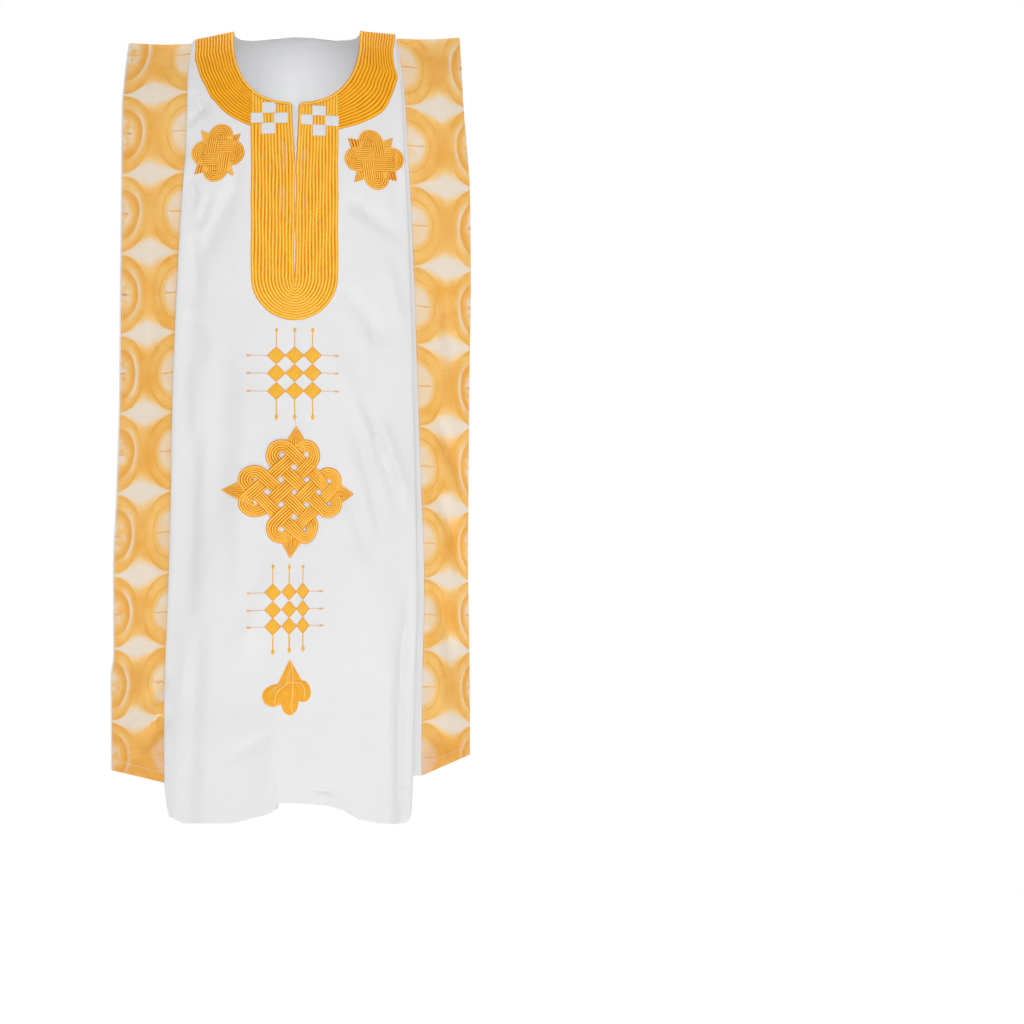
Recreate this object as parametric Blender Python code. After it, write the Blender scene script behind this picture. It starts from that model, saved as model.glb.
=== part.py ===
"""Grand boubou robe in its worn shape: each cut piece of cloth is one closed wall.

Metres, +Z up, the front faces -Y, and x runs to the wearer's left. The origin is the middle of the neck opening
at the height of the shoulders.
"""

import math

import bpy
import numpy as np
from mathutils.geometry import delaunay_2d_cdt

WALL = 0.0014  # wall of the body cloth
STRIP_WALL = 0.0010  # wall of the dyed strips
CORD_WALL = 0.0018  # couched cords, with the cloth they lie on
THREAD_WALL = 0.0012  # flat satin stitch
CLEARANCE = 0.0003  # between pieces, and across half a seam
BODY_LENGTH = 1.19  # shoulder line to hem, before each column is stretched to its own hem
WHITE_EDGE = 0.003  # base cloth left bare along a strip's outer edge

# Drop of each row of the wall below the shoulder line: close together where the cloth rolls over the shoulder
ROWS = np.array(
    [0, 0.0015, 0.006, 0.014, 0.026, 0.045, 0.07, 0.10, 0.14, 0.19, 0.25, 0.32]
    + [0.40, 0.48, 0.56, 0.64, 0.72, 0.80, 0.88, 0.96, 1.03, 1.09, 1.14, BODY_LENGTH]
)

# Height of the shoulder line across the body: x, z
SHOULDER_LINE = [
    (-0.270, -0.015),
    (-0.160, -0.009),
    (-0.096, 0.003),
    (0.0, 0.018),
    (0.096, 0.004),
    (0.150, -0.001),
    (0.260, -0.007),
]

# Half the gap of the arm opening, which closes at the side seam: drop, y
ARM_OPENING = [
    (0.0, 0.012),
    (0.06, 0.031),
    (0.15, 0.044),
    (0.50, 0.050),
    (0.80, 0.041),
    (0.95, 0.017),
    (1.03, 0.0014),
    (1.20, 0.0014),
]

# Gap between the layers of a folded wing, as the radius of one turn: drop, radius
TURN = [(0.0, 0.0016), (0.30, 0.0030), (1.20, 0.0034)]

# Where each line of a half lies: drop, then x of the right wing's edge, its strip, the right fold, the left
# fold, the left strip and the left wing's edge
FRONT_LINES = [
    (0.00, -0.257, -0.154, -0.158, 0.150, 0.152, 0.248),
    (0.05, -0.262, -0.161, -0.165, 0.155, 0.159, 0.250),
    (0.10, -0.266, -0.162, -0.166, 0.161, 0.165, 0.2523),
    (0.17, -0.267, -0.164, -0.168, 0.1634, 0.168, 0.2575),
    (0.25, -0.2675, -0.170, -0.174, 0.168, 0.173, 0.263),
    (0.40, -0.269, -0.178, -0.182, 0.174, 0.179, 0.2645),
    (0.56, -0.270, -0.184, -0.188, 0.178, 0.184, 0.2625),
    (0.74, -0.275, -0.187, -0.191, 0.182, 0.190, 0.261),
    (0.87, -0.280, -0.191, -0.195, 0.184, 0.194, 0.260),
    (1.00, -0.280, -0.196, -0.200, 0.180, 0.192, 0.2615),
    (1.04, -0.284, -0.197, -0.2006, 0.179, 0.191, 0.262),
    (1.14, -0.2834, -0.197, -0.2006, 0.177, 0.190, 0.2625),
    (1.19, -0.2834, -0.193, -0.196, 0.175, 0.190, 0.2625),
]
BACK_LINES = [
    (0.00, -0.256, -0.160, -0.158, 0.150, 0.158, 0.2465),
    (0.06, -0.255, -0.160, -0.149, 0.146, 0.1626, 0.2490),
    (0.12, -0.255, -0.161, -0.143, 0.143, 0.1626, 0.2515),
    (0.20, -0.2554, -0.164, -0.1414, 0.139, 0.163, 0.2545),
    (0.30, -0.2554, -0.169, -0.137, 0.137, 0.164, 0.254),
    (0.44, -0.256, -0.175, -0.1444, 0.143, 0.167, 0.2525),
    (0.57, -0.260, -0.180, -0.152, 0.1535, 0.171, 0.2525),
    (0.73, -0.2706, -0.187, -0.158, 0.1596, 0.175, 0.2554),
    (0.88, -0.2766, -0.196, -0.158, 0.1657, 0.178, 0.254),
    (1.03, -0.2805, -0.2037, -0.153, 0.1718, 0.182, 0.252),
    (1.14, -0.2815, -0.2067, -0.1455, 0.164, 0.180, 0.256),
    (1.19, -0.2815, -0.2067, -0.142, 0.152, 0.180, 0.256),
]

# Hem of the middle of each half, which dips and steps with its folds: x, z
FRONT_HEM = [
    (-0.200, -1.180),
    (-0.195, -1.190),
    (-0.172, -1.2014),
    (-0.096, -1.2008),
    (-0.042, -1.1865),
    (-0.0325, -1.181),
    (-0.0285, -1.169),
    (0.006, -1.1704),
    (0.050, -1.1742),
    (0.071, -1.181),
    (0.096, -1.1947),
    (0.120, -1.200),
    (0.147, -1.2023),
    (0.169, -1.200),
    (0.175, -1.194),
]
BACK_HEM = [
    (-0.145, -1.152),
    (-0.136, -1.160),
    (-0.122, -1.172),
    (-0.096, -1.172),
    (-0.092, -1.184),
    (-0.0305, -1.1835),
    (-0.0270, -1.151),
    (0.014, -1.161),
    (0.060, -1.172),
    (0.096, -1.182),
    (0.118, -1.184),
    (0.136, -1.172),
    (0.152, -1.156),
]

# Soft folds that run down a half: x at the shoulder, x at mid-length, x at the hem, the drops between which the
# fold grows to its full depth, its half width, and how far it stands out (below 0: how far it sinks)
FRONT_FOLDS = [
    (-0.150, -0.163, -0.180, 0.12, 0.60, 0.013, -0.0065),
    (-0.110, -0.125, -0.150, 0.30, 1.00, 0.022, 0.0040),
    (0.060, 0.050, 0.075, 0.50, 1.19, 0.030, -0.0060),
    (0.110, 0.120, 0.135, 0.30, 1.10, 0.028, 0.0055),
    (-0.030, -0.030, -0.040, 0.80, 1.19, 0.024, 0.0050),
]
BACK_FOLDS = [
    (-0.060, -0.030, -0.014, 0.04, 0.80, 0.014, -0.0110),
    (-0.066, -0.046, -0.036, 0.06, 0.90, 0.016, 0.0090),
    (0.085, 0.102, 0.126, 0.08, 0.80, 0.014, -0.0080),
    (0.040, 0.050, 0.070, 0.10, 0.80, 0.030, 0.0050),
    (-0.096, -0.090, -0.088, 0.10, 0.90, 0.013, -0.0075),
    (-0.118, -0.120, -0.122, 0.20, 0.90, 0.016, 0.0045),
]

# Columns across the middle of a half, as shares of the way from the right fold to the left one; a close pair
# stands on each side of a step in the hem
FRONT_COLUMNS = [0, 0.045, 0.10, 0.17, 0.25, 0.34, 0.44, 0.452]
FRONT_COLUMNS += [0.53, 0.61, 0.69, 0.77, 0.85, 0.92, 0.97, 1]
BACK_COLUMNS = [0, 0.05, 0.11, 0.155, 0.17, 0.24, 0.32, 0.40, 0.413]
BACK_COLUMNS += [0.49, 0.58, 0.68, 0.77, 0.85, 0.92, 0.97, 1]

FRONT = {
    "toward": -1,
    "lines": FRONT_LINES,
    "columns": FRONT_COLUMNS,
    "hem": FRONT_HEM,
    "folds": FRONT_FOLDS,
    "depth_at_chest": 0.130,
    "depth_at_hem": 0.150,
    "shoulder_roll": 0.30,
    "tuck": (0.052, 0.070),  # width of a wing's hidden fold, at the shoulder and at the hem
    "right_wing_hem": (-1.1415, -1.1213),  # beside the fold, and at the edge
    "left_wing_hem": (-1.1290, -1.0980),
}
BACK = {
    "toward": 1,
    "lines": BACK_LINES,
    "columns": BACK_COLUMNS,
    "hem": BACK_HEM,
    "folds": BACK_FOLDS,
    "depth_at_chest": 0.115,
    "depth_at_hem": 0.135,
    "shoulder_roll": 0.20,
    "tuck": (0.045, 0.060),
    "right_wing_hem": (-1.1390, -1.1185),
    "left_wing_hem": (-1.1270, -1.0955),
}
CHEST_DROP = 0.2  # where the body has its depth at the chest
SIDE_FULLNESS = 2.6  # power of the body's curve in plan: higher is flatter in front and rounder at the side
TIP_ROLL = 0.03  # drop over which the cloth rolls at the shoulder's tip
STRIP_COLUMN = 9  # place of a strip's inner edge among the columns of a wing, counted from the fold

# Neck opening and the embroidered yoke round it: half widths, depths and the powers of their curves
NECK_HALF_WIDTH = 0.0958
NECK_FRONT_DEPTH = 0.1050
NECK_BACK_DEPTH = 0.020
# Outer edge of each front half of the yoke, from the shoulder to the placket: x out from the middle, z
YOKE_RIGHT = [
    (0.1535, 0.0),
    (0.1545, -0.022),
    (0.1545, -0.038),
    (0.1508, -0.053),
    (0.1448, -0.068),
    (0.1375, -0.083),
    (0.1294, -0.098),
    (0.1175, -0.112),
    (0.1010, -0.126),
    (0.0810, -0.137),
    (0.0686, -0.142),
]
YOKE_LEFT = [
    (0.1495, 0.0),
    (0.1483, -0.018),
    (0.1459, -0.036),
    (0.1502, -0.052),
    (0.1542, -0.068),
    (0.1500, -0.082),
    (0.1440, -0.097),
    (0.1400, -0.108),
    (0.1320, -0.119),
    (0.1170, -0.129),
    (0.1000, -0.137),
    (0.0740, -0.1445),
    (0.0640, -0.147),
]
YOKE_BACK_DEPTH = 0.066
YOKE_BACK_POWER = 1.6
CURVE_POWER = 2.4
SLIT_TOP = (-0.0066, 0.0040)  # its sides where it leaves the neckline
SLIT_END = -0.211
SLIT_AT = -0.0006

PLACKET_RIGHT = -0.0684
PLACKET_LEFT = 0.0638
PLACKET_ROUND = -0.370  # height of the centre of its round end

KNOT_CENTRE = (-0.0021, -0.698)
KNOT_PITCH = 0.0268  # between parallel strands
KNOT_STRAND = 0.0186  # width of a strand
KNOT_TIPS = [(0.0, 0.099), (0.0895, -0.002), (-0.006, -0.0995), (-0.111, 0.003)]
KNOT_TIP_BASE = 0.0166  # half width of a pointed tip at its foot
KNOT_TIP_FOOT = 0.72  # share of the way to the tip at which it starts

# Interlaced chest motifs: centre, lean of the upright loop, then half length and half width of both loops
CHEST_MOTIFS = {
    "chest_motif_right": (-0.1186, -0.1824, 0.0035, 0.0320, 0.0125),
    "chest_motif_left": (0.1186, -0.1930, -0.0035, 0.0345, 0.0135),
}

# Lattices of three by three lozenges: centre, pitch across and down, and how far the fine lines reach right,
# left, up and down from the centre
LATTICES = {
    "lattice_upper": (-0.0021, -0.5165, 0.0280, 0.0270, -0.0765, 0.0640, 0.0665, -0.0725),
    "lattice_lower": (-0.0110, -0.8760, 0.0232, 0.0264, -0.0645, 0.0520, 0.0675, -0.0700),
}
LOZENGE_OVERLAP = 1.06  # size of a lozenge over its pitch, so that neighbours are joined
LINE_START = 1.3  # pitches from the centre at which a fine line starts, inside the outer lozenge
LINE_HALF_WIDTH = 0.0011
BUD_HALF_WIDTH = 0.0023
BUD_LENGTH = 0.0090

LEAF_CENTRE = (-0.0091, -1.0047)
# Lobes of the leaf as ellipses about its centre: x, z, half width, half height, lean in degrees
LEAF_LOBES = [
    (-0.0282, -0.0029, 0.0150, 0.0180, -28.0),
    (0.0003, -0.0117, 0.0134, 0.0215, 3.0),
    (0.0205, 0.0044, 0.0120, 0.0180, 12.0),
]
LEAF_POINT = [(-0.0185, 0.0160), (0.0, 0.0527), (0.0181, 0.0233), (0.0, -0.0150)]


def column(table, key, value, at):
    """One column of a table read at a value of another, straight between its rows."""
    rows = np.array(table, float)
    return np.interp(at, rows[:, key], rows[:, value])


def smooth(at, start, end):
    share = np.clip((at - start) / (end - start), 0, 1)
    return share * share * (3 - 2 * share)


class Half:
    """The front or the back of the body as a grid of points, in columns that run from the shoulder to the hem."""

    def __init__(self, shape):
        self.shape = shape
        self.toward = shape["toward"]
        middle = self.middle_columns()
        right = self.wing_columns(side=-1)[::-1]
        left = self.wing_columns(side=1)
        self.first_middle = len(right)
        columns = right + middle + left
        self.stretch = np.array([self.stretch_of(x, hem) for x, _, hem in columns])
        self.points = np.array([self.placed(*item) for item in zip(columns, self.stretch)])
        self.normals = self.grid_normals()
        self.count = len(columns)
        self.last = np.array([self.count - 1, len(ROWS) - 1])

    def line(self, number, drop=ROWS):
        return column(self.shape["lines"], 0, number, drop)

    def middle_columns(self):
        """(x of each row, depth of the layer, height of the hem) of each column between the folds."""
        turn = column(TURN, 0, 1, ROWS)
        right, left = self.line(3) + turn, self.line(4) - turn
        found = []
        for share in self.shape["columns"]:
            x = right + share * (left - right)
            found.append((x, 0 * ROWS, column(self.shape["hem"], 0, 1, x[-1])))
        return found

    def wing_columns(self, side):
        """The columns of a wing, which folds under the middle, folds back and then runs out to its edge."""
        lines = (3, 2, 1) if side < 0 else (4, 5, 6)
        fold, strip, edge = (self.line(number) * side for number in lines)
        turn = column(TURN, 0, 1, ROWS)
        tuck = np.interp(ROWS, [0, BODY_LENGTH], self.shape["tuck"])
        end = edge - WHITE_EDGE
        layout = [
            (fold - 0.3 * turn, 0.3),
            (fold, 1.0),
            (fold - 0.3 * turn, 1.7),
            (fold - turn, 2.0),
            (fold - tuck + turn, 2.0),
            (fold - tuck + 0.3 * turn, 2.3),
            (fold - tuck, 3.0),
            (fold - tuck + 0.3 * turn, 3.7),
            (fold - tuck + turn, 4.0),
            (strip, 4.0),
            (strip + 0.36 * (end - strip), 3.6),
            (strip + 0.70 * (end - strip), 2.2),
            (end, 0.3),
            (edge, 0.0),
        ]
        wing_hem = self.shape["right_wing_hem" if side < 0 else "left_wing_hem"]
        middle_hem = column(self.shape["hem"], 0, 1, side * fold[-1])
        found = []
        for number, (x, turns) in enumerate(layout):
            under = min(number / STRIP_COLUMN, 1)
            out = np.clip((x[-1] - strip[-1]) / (edge[-1] - strip[-1]), 0, 1)
            hem = middle_hem + under * (wing_hem[0] - middle_hem) + out * (wing_hem[1] - wing_hem[0])
            found.append((side * x, turns * turn, hem))
        return found

    def stretch_of(self, x, hem):
        return (column(SHOULDER_LINE, 0, 1, x[-1]) - hem) / BODY_LENGTH

    def relief(self, x, drop):
        """How far the soft folds move the cloth out."""
        moved = 0 * x
        for top, mid, low, start, full, width, height in self.shape["folds"]:
            at = np.interp(drop, [0, 0.5 * BODY_LENGTH, BODY_LENGTH], [top, mid, low])
            moved = moved + height * smooth(drop, start, full) * np.exp(-(((x - at) / width) ** 2))
        return moved

    def surface(self, x, drop, stretch):
        """(y, z) of the cloth's outer layer, over the shoulder and down the body."""
        edge = np.where(x < 0, -self.line(1, drop), self.line(6, drop))
        out = np.clip(np.abs(x) / edge, 0, 1)
        depths = [self.shape["depth_at_chest"], self.shape["depth_at_hem"]]
        depth = np.interp(drop, [CHEST_DROP, BODY_LENGTH], depths)
        gap = column(ARM_OPENING, 0, 1, drop)
        reach = gap + (depth - gap) * (1 - out**SIDE_FULLNESS)
        roll = TIP_ROLL + (self.shape["shoulder_roll"] - TIP_ROLL) * (1 - out**3)
        rolled = np.sqrt(1 - (1 - np.clip(drop / roll, 0, 1)) ** 2)
        y = CLEARANCE + 0.0001 + reach * rolled + self.relief(x, drop)
        return self.toward * y, column(SHOULDER_LINE, 0, 1, x) - drop * stretch

    def placed(self, item, stretch):
        """The points of one column, moved in by the depth of its layer."""
        x, layer, _ = item
        step = 1e-4
        y, z = self.surface(x, ROWS, stretch)
        y_after, z_after = self.surface(x, ROWS + step, stretch)
        along = np.stack([y_after - y, z_after - z])
        along = along / np.linalg.norm(along, axis=0)
        inward = np.stack([-along[1], along[0]]) * -self.toward
        inward[0] = np.where(ROWS == 0, 0, inward[0])
        return np.stack([x, y + layer * inward[0], z + layer * inward[1]], axis=1)

    def grid_normals(self):
        points = self.points
        total = np.zeros_like(points)
        a, b, c, d = points[:-1, :-1], points[1:, :-1], points[1:, 1:], points[:-1, 1:]
        first, second = np.cross(b - a, c - a), np.cross(c - a, d - a)
        total[:-1, :-1] += first + second
        total[1:, :-1] += first
        total[1:, 1:] += first + second
        total[:-1, 1:] += second
        total *= self.toward
        return total / np.linalg.norm(total, axis=2, keepdims=True)

    def at(self, place, height):
        """The point at a place of the grid (column, row), moved out from the middle of the wall."""
        corner = np.floor(np.array(place) - 1e-9).astype(int)
        i = min(max(corner[0], 0), self.points.shape[0] - 2)
        j = min(max(corner[1], 0), self.points.shape[1] - 2)
        across, down = place[0] - i, place[1] - j
        raised = self.points + height * self.normals
        if across >= down:
            near, far = raised[i + 1, j], raised[i + 1, j + 1]
            return raised[i, j] + across * (near - raised[i, j]) + down * (far - near)
        near, far = raised[i, j + 1], raised[i + 1, j + 1]
        return raised[i, j] + down * (near - raised[i, j]) + across * (far - near)

    def place_of(self, x, z):
        """The place on the grid of a point of the middle seen from straight in front."""
        drop = column(SHOULDER_LINE, 0, 1, x) - z
        shares = self.shape["columns"]
        for _ in range(4):
            turn = column(TURN, 0, 1, drop)
            right, left = self.line(3, drop) + turn, self.line(4, drop) - turn
            share = (x - right) / (left - right)
            across = self.first_middle + np.interp(share, shares, range(len(shares)))
            stretch = np.interp(across, range(self.count), self.stretch)
            drop = max((column(SHOULDER_LINE, 0, 1, x) - z) / stretch, 0)
        return across, np.interp(drop, ROWS, range(len(ROWS)))

    def grid_edges(self, low, high):
        """Grid places from low to high, and the edges of the two triangles of each cell between them."""
        size = high - low + 1
        across_range, down_range = range(low[0], high[0] + 1), range(low[1], high[1] + 1)
        places = [(float(i), float(j)) for i in across_range for j in down_range]

        def number(i, j):
            return i * size[1] + j

        edges = []
        for i in range(size[0]):
            for j in range(size[1]):
                for across, down in ((1, 0), (0, 1), (1, 1)):
                    if i + across < size[0] and j + down < size[1]:
                        edges.append((number(i, j), number(i + across, j + down)))
        return places, edges


def within(place, loop):
    """Whether a place lies inside a closed loop."""
    x, y = place
    start, end = np.array(loop), np.roll(np.array(loop), -1, axis=0)
    crosses = (start[:, 1] > y) != (end[:, 1] > y)
    rise = np.where(crosses, end[:, 1] - start[:, 1], 1)
    reach = start[:, 0] + (y - start[:, 1]) * (end[:, 0] - start[:, 0]) / rise
    return bool((crosses & (x < reach)).sum() % 2)


def triangles_within(half, low, high, loops, kept):
    """Triangles of the grid between two corners, cut along the loops; kept says which places are the piece's."""
    places, edges = half.grid_edges(np.array(low), np.array(high))
    for loop in loops:
        first = len(places)
        places = places + [tuple(map(float, place)) for place in loop]
        edges = edges + [(first + n, first + (n + 1) % len(loop)) for n in range(len(loop))]
    found = delaunay_2d_cdt(places, edges, [], 0, 1e-5)
    corners = np.array([tuple(corner) for corner in found[0]])
    centres = [corners[list(face)].mean(axis=0) for face in found[2]]
    faces = []
    for face, centre in zip(found[2], centres):
        if centre[1] > low[1] and kept(centre):
            faces.append(tuple(face))
    used = sorted({corner for face in faces for corner in face})
    number = {old: new for new, old in enumerate(used)}
    return corners[used], [tuple(number[corner] for corner in face) for face in faces]


def grid_triangles(first, end):
    """Every triangle of the grid between column `first` and the last one before `end`, from shoulder to hem."""
    rows = len(ROWS)
    places = [(float(i), float(j)) for i in range(first, end) for j in range(rows)]
    faces = []
    for i in range(end - first - 1):
        for j in range(rows - 1):
            a, b, c, d = i * rows + j, (i + 1) * rows + j, (i + 1) * rows + j + 1, i * rows + j + 1
            faces += [(a, b, c), (a, c, d)]
    return np.array(places), faces


def add_wall(name, half, places, faces, inner, outer, material):
    """A closed wall between two heights over the middle of the body's own wall."""
    corners = np.array([half.at(place, height) for height in (inner, outer) for place in places])
    count = len(places)
    turned = []
    for face in faces:
        a, b, c = (places[corner] for corner in face)
        area = (b[0] - a[0]) * (c[1] - a[1]) - (b[1] - a[1]) * (c[0] - a[0])
        turned.append(face if area * half.toward > 0 else face[::-1])
    sides = {}
    for a, b, c in turned:
        for edge in ((a, b), (b, c), (c, a)):
            sides[edge] = True
    rims = [(a, b) for a, b in sides if (b, a) not in sides]
    shell = [tuple(count + corner for corner in face) for face in turned]
    shell += [face[::-1] for face in turned]
    for a, b in rims:
        shell += [(a, b, count + a), (b, count + b, count + a)]
    mesh = bpy.data.meshes.new(name)
    mesh.from_pydata([tuple(corner) for corner in corners], [], shell)
    mesh.materials.append(material)
    bpy.context.scene.collection.objects.link(bpy.data.objects.new(name, mesh))


def new_material(name, colour, roughness):
    material = bpy.data.materials.new(name)
    material.use_nodes = True
    shader = material.node_tree.nodes["Principled BSDF"]
    shader.inputs["Base Color"].default_value = (*colour, 1)
    shader.inputs["Roughness"].default_value = roughness
    return material


def curve_x(z, half_width, depth, power):
    """Half width at a height below the shoulder of an opening that narrows to nothing at its depth."""
    return half_width * max(1 - (max(-z, 0) / depth) ** power, 0) ** (1 / power)


def curve_points(half_width, depth, power, steps, stop_x=0.0):
    """Points (x, z) of one side of such an opening, from the shoulder to where it has narrowed to stop_x."""
    stop = depth * (1 - (stop_x / half_width) ** power) ** (1 / power)
    turns = [math.sin(0.5 * math.pi * n / steps) for n in range(steps + 1)]
    return [(curve_x(-stop * turn, half_width, depth, power), -stop * turn) for turn in turns]


def shoulder_height(x):
    return float(column(SHOULDER_LINE, 0, 1, x))


def neck_front_loop():
    """The neck opening and the slit below it, reaching past the shoulder line."""
    left = curve_points(NECK_HALF_WIDTH, NECK_FRONT_DEPTH, CURVE_POWER, 12, SLIT_TOP[1])
    right = curve_points(NECK_HALF_WIDTH, NECK_FRONT_DEPTH, CURVE_POWER, 12, -SLIT_TOP[0])
    right = [(-x, z) for x, z in right[::-1]]
    return left + [(SLIT_AT, SLIT_END)] + right


def placket_loop():
    """The placket from the neck line down to its round end, with the slit cut out of it."""
    sides = []
    for side, edge in ((1, PLACKET_LEFT), (-1, PLACKET_RIGHT)):
        top = curve_points(NECK_HALF_WIDTH, NECK_FRONT_DEPTH, CURVE_POWER, 12, abs(SLIT_TOP[side > 0]))
        top = [(side * x, z) for x, z in top if x < abs(edge)]
        share = (1 - (abs(edge) / NECK_HALF_WIDTH) ** CURVE_POWER) ** (1 / CURVE_POWER)
        sides.append([(edge, -NECK_FRONT_DEPTH * share)] + top)
    radius = 0.5 * (PLACKET_LEFT - PLACKET_RIGHT)
    middle = 0.5 * (PLACKET_LEFT + PLACKET_RIGHT)
    turns = [math.pi * n / 16 for n in range(17)]
    end = [(middle - radius * math.cos(t), PLACKET_ROUND - radius * math.sin(t)) for t in turns]
    return sides[0] + [(SLIT_AT, SLIT_END)] + sides[1][::-1] + end


def yoke_front_loop(side):
    """One front half of the yoke, from the shoulder line to the placket's side."""
    stop = (PLACKET_LEFT if side > 0 else -PLACKET_RIGHT) + 2 * CLEARANCE
    inner = curve_points(NECK_HALF_WIDTH, NECK_FRONT_DEPTH, CURVE_POWER, 9, stop)
    outer = [(max(x, stop), z) for x, z in (YOKE_LEFT if side > 0 else YOKE_RIGHT)]
    inner[0] = (inner[0][0], shoulder_height(side * inner[0][0]))
    outer[0] = (outer[0][0], shoulder_height(side * outer[0][0]))
    return [(side * x, z) for x, z in inner + outer[::-1]]


def back_curve(half_width_right, half_width_left, depth, power, steps=20):
    """A curve over the back from one shoulder to the other, as (x, drop)."""
    found = []
    for n in range(steps + 1):
        turn = math.pi * n / steps
        half_width = half_width_left if turn < 0.5 * math.pi else half_width_right
        x = half_width * math.copysign(abs(math.cos(turn)) ** (2 / power), math.cos(turn))
        found.append((x, depth * math.sin(turn) ** (2 / power)))
    return found


def star_loop(centre, inside, reach, steps, start=0.0):
    """The outline round a centre of a shape given by a test, seen along rays."""
    found = []
    for n in range(steps):
        turn = start + 2 * math.pi * n / steps
        far = reach
        while far > 0 and not inside(far * math.cos(turn), far * math.sin(turn)):
            far -= 0.0004
        found.append((centre[0] + far * math.cos(turn), centre[1] + far * math.sin(turn)))
    return found


def in_triangle(x, z, corners):
    (ax, az), (bx, bz), (cx, cz) = corners
    turns = [
        (bx - ax) * (z - az) - (bz - az) * (x - ax),
        (cx - bx) * (z - bz) - (cz - bz) * (x - bx),
        (ax - cx) * (z - cz) - (az - cz) * (x - cx),
    ]
    return min(turns) >= 0 or max(turns) <= 0


def in_knot(x, z):
    """Whether a point about the knot's centre lies on a strand, in a loop or in a pointed tip."""
    reach = 0.5 * (KNOT_PITCH + KNOT_STRAND)
    along, across = (x + z) / math.sqrt(2), (z - x) / math.sqrt(2)
    for a, b in ((along, across), (across, along)):
        if abs(abs(a) - KNOT_PITCH) < reach and abs(b) < 2 * KNOT_PITCH:
            return True
        if math.hypot(abs(a) - KNOT_PITCH, abs(b) - 2 * KNOT_PITCH) < reach:
            return True
    for tip_x, tip_z in KNOT_TIPS:
        share = KNOT_TIP_BASE / math.hypot(tip_x, tip_z)
        side = (-tip_z * share, tip_x * share)
        foot = (KNOT_TIP_FOOT * tip_x, KNOT_TIP_FOOT * tip_z)
        first, second = (foot[0] + side[0], foot[1] + side[1]), (foot[0] - side[0], foot[1] - side[1])
        if in_triangle(x, z, ((tip_x, tip_z), first, second)):
            return True
    return abs(x) + abs(z) < 2 * KNOT_PITCH


def knot_holes():
    """Nine square holes between the strands and the eight eyes of the loops."""
    holes = []
    half = 0.5 * (KNOT_PITCH - KNOT_STRAND) * math.sqrt(2)
    for a in (-1, 0, 1):
        for b in (-1, 0, 1):
            x, z = (a - b) * KNOT_PITCH / math.sqrt(2), (a + b) * KNOT_PITCH / math.sqrt(2)
            holes.append([(x + half, z), (x, z + half), (x - half, z), (x, z - half)])
    eye = 0.5 * (KNOT_PITCH - KNOT_STRAND)
    for a, b in ((1, 2), (2, 1), (-1, 2), (2, -1), (1, -2), (-2, 1), (-1, -2), (-2, -1)):
        x, z = (a - b) * KNOT_PITCH / math.sqrt(2), (a + b) * KNOT_PITCH / math.sqrt(2)
        turns = [2 * math.pi * n / 6 for n in range(6)]
        holes.append([(x + eye * math.cos(t), z + eye * math.sin(t)) for t in turns])
    return [[(KNOT_CENTRE[0] + x, KNOT_CENTRE[1] + z) for x, z in hole] for hole in holes]


def lattice_loops(centre_x, centre_z, across, down, right, left, up, low):
    """Nine lozenges that touch at their corners, and the fine lines with buds that run out from them."""
    wide, tall = 0.5 * across * LOZENGE_OVERLAP, 0.5 * down * LOZENGE_OVERLAP
    loops = []
    for a in (-1, 0, 1):
        for b in (-1, 0, 1):
            x, z = centre_x + a * across, centre_z + b * down
            loops.append([(x + wide, z), (x, z + tall), (x - wide, z), (x, z - tall)])
    profile = [
        (0.0, LINE_HALF_WIDTH),
        (-BUD_LENGTH, LINE_HALF_WIDTH),
        (-0.6 * BUD_LENGTH, BUD_HALF_WIDTH),
        (0.0, 0.0),
        (-0.6 * BUD_LENGTH, -BUD_HALF_WIDTH),
        (-BUD_LENGTH, -LINE_HALF_WIDTH),
        (0.0, -LINE_HALF_WIDTH),
    ]
    for n in (-1, 0, 1):
        for reach, start in ((right, -LINE_START * across), (left, LINE_START * across)):
            sign = math.copysign(1, reach)
            ends = [(start if k in (0, 6) else reach + sign * at) for k, (at, _) in enumerate(profile)]
            loops.append([(centre_x + x, centre_z + n * down + w) for x, (_, w) in zip(ends, profile)])
        for reach, start in ((up, LINE_START * down), (low, -LINE_START * down)):
            sign = math.copysign(1, reach)
            ends = [(start if k in (0, 6) else reach + sign * at) for k, (at, _) in enumerate(profile)]
            loops.append([(centre_x + n * across + w, centre_z + z) for z, (_, w) in zip(ends, profile)])
    return loops


def in_loops(x, z, length, width, lean):
    """Whether a point lies on one of two crossed loops or on the small squares set cornerwise behind them."""
    along = x - lean * z / length
    upright = math.hypot(along, max(abs(z) - (length - width), 0)) < width
    level = math.hypot(max(abs(x) - (length - width), 0), z) < width
    corners = abs(abs(x) - 0.62 * length) + abs(abs(z) - 0.62 * length) < 0.26 * length
    return upright or level or corners or math.hypot(x, z) < 0.7 * length


def in_leaf(x, z):
    for lobe_x, lobe_z, wide, tall, lean in LEAF_LOBES:
        turn = math.radians(lean)
        across = (x - lobe_x) * math.cos(turn) + (z - lobe_z) * math.sin(turn)
        up = (z - lobe_z) * math.cos(turn) - (x - lobe_x) * math.sin(turn)
        if (across / wide) ** 2 + (up / tall) ** 2 < 1:
            return True
    a, b, c, d = LEAF_POINT
    return in_triangle(x, z, (a, b, c)) or in_triangle(x, z, (a, c, d))


def add_applique(name, half, loops, kept, wall, material):
    """A flat shape sewn on the middle of the body: loops and kept are in the plane seen from in front."""
    placed = [[half.place_of(x, z) for x, z in loop] for loop in loops]
    every = np.array([place for loop in placed for place in loop])
    low = np.floor(every.min(axis=0) + 1e-6).astype(int)
    high = np.minimum(np.ceil(every.max(axis=0) - 1e-6).astype(int), half.last)
    places, faces = triangles_within(half, low, high, placed, lambda place: kept(place, placed))
    foot = 0.5 * WALL + CLEARANCE
    add_wall(name, half, places, faces, foot, foot + wall, material)


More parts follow.
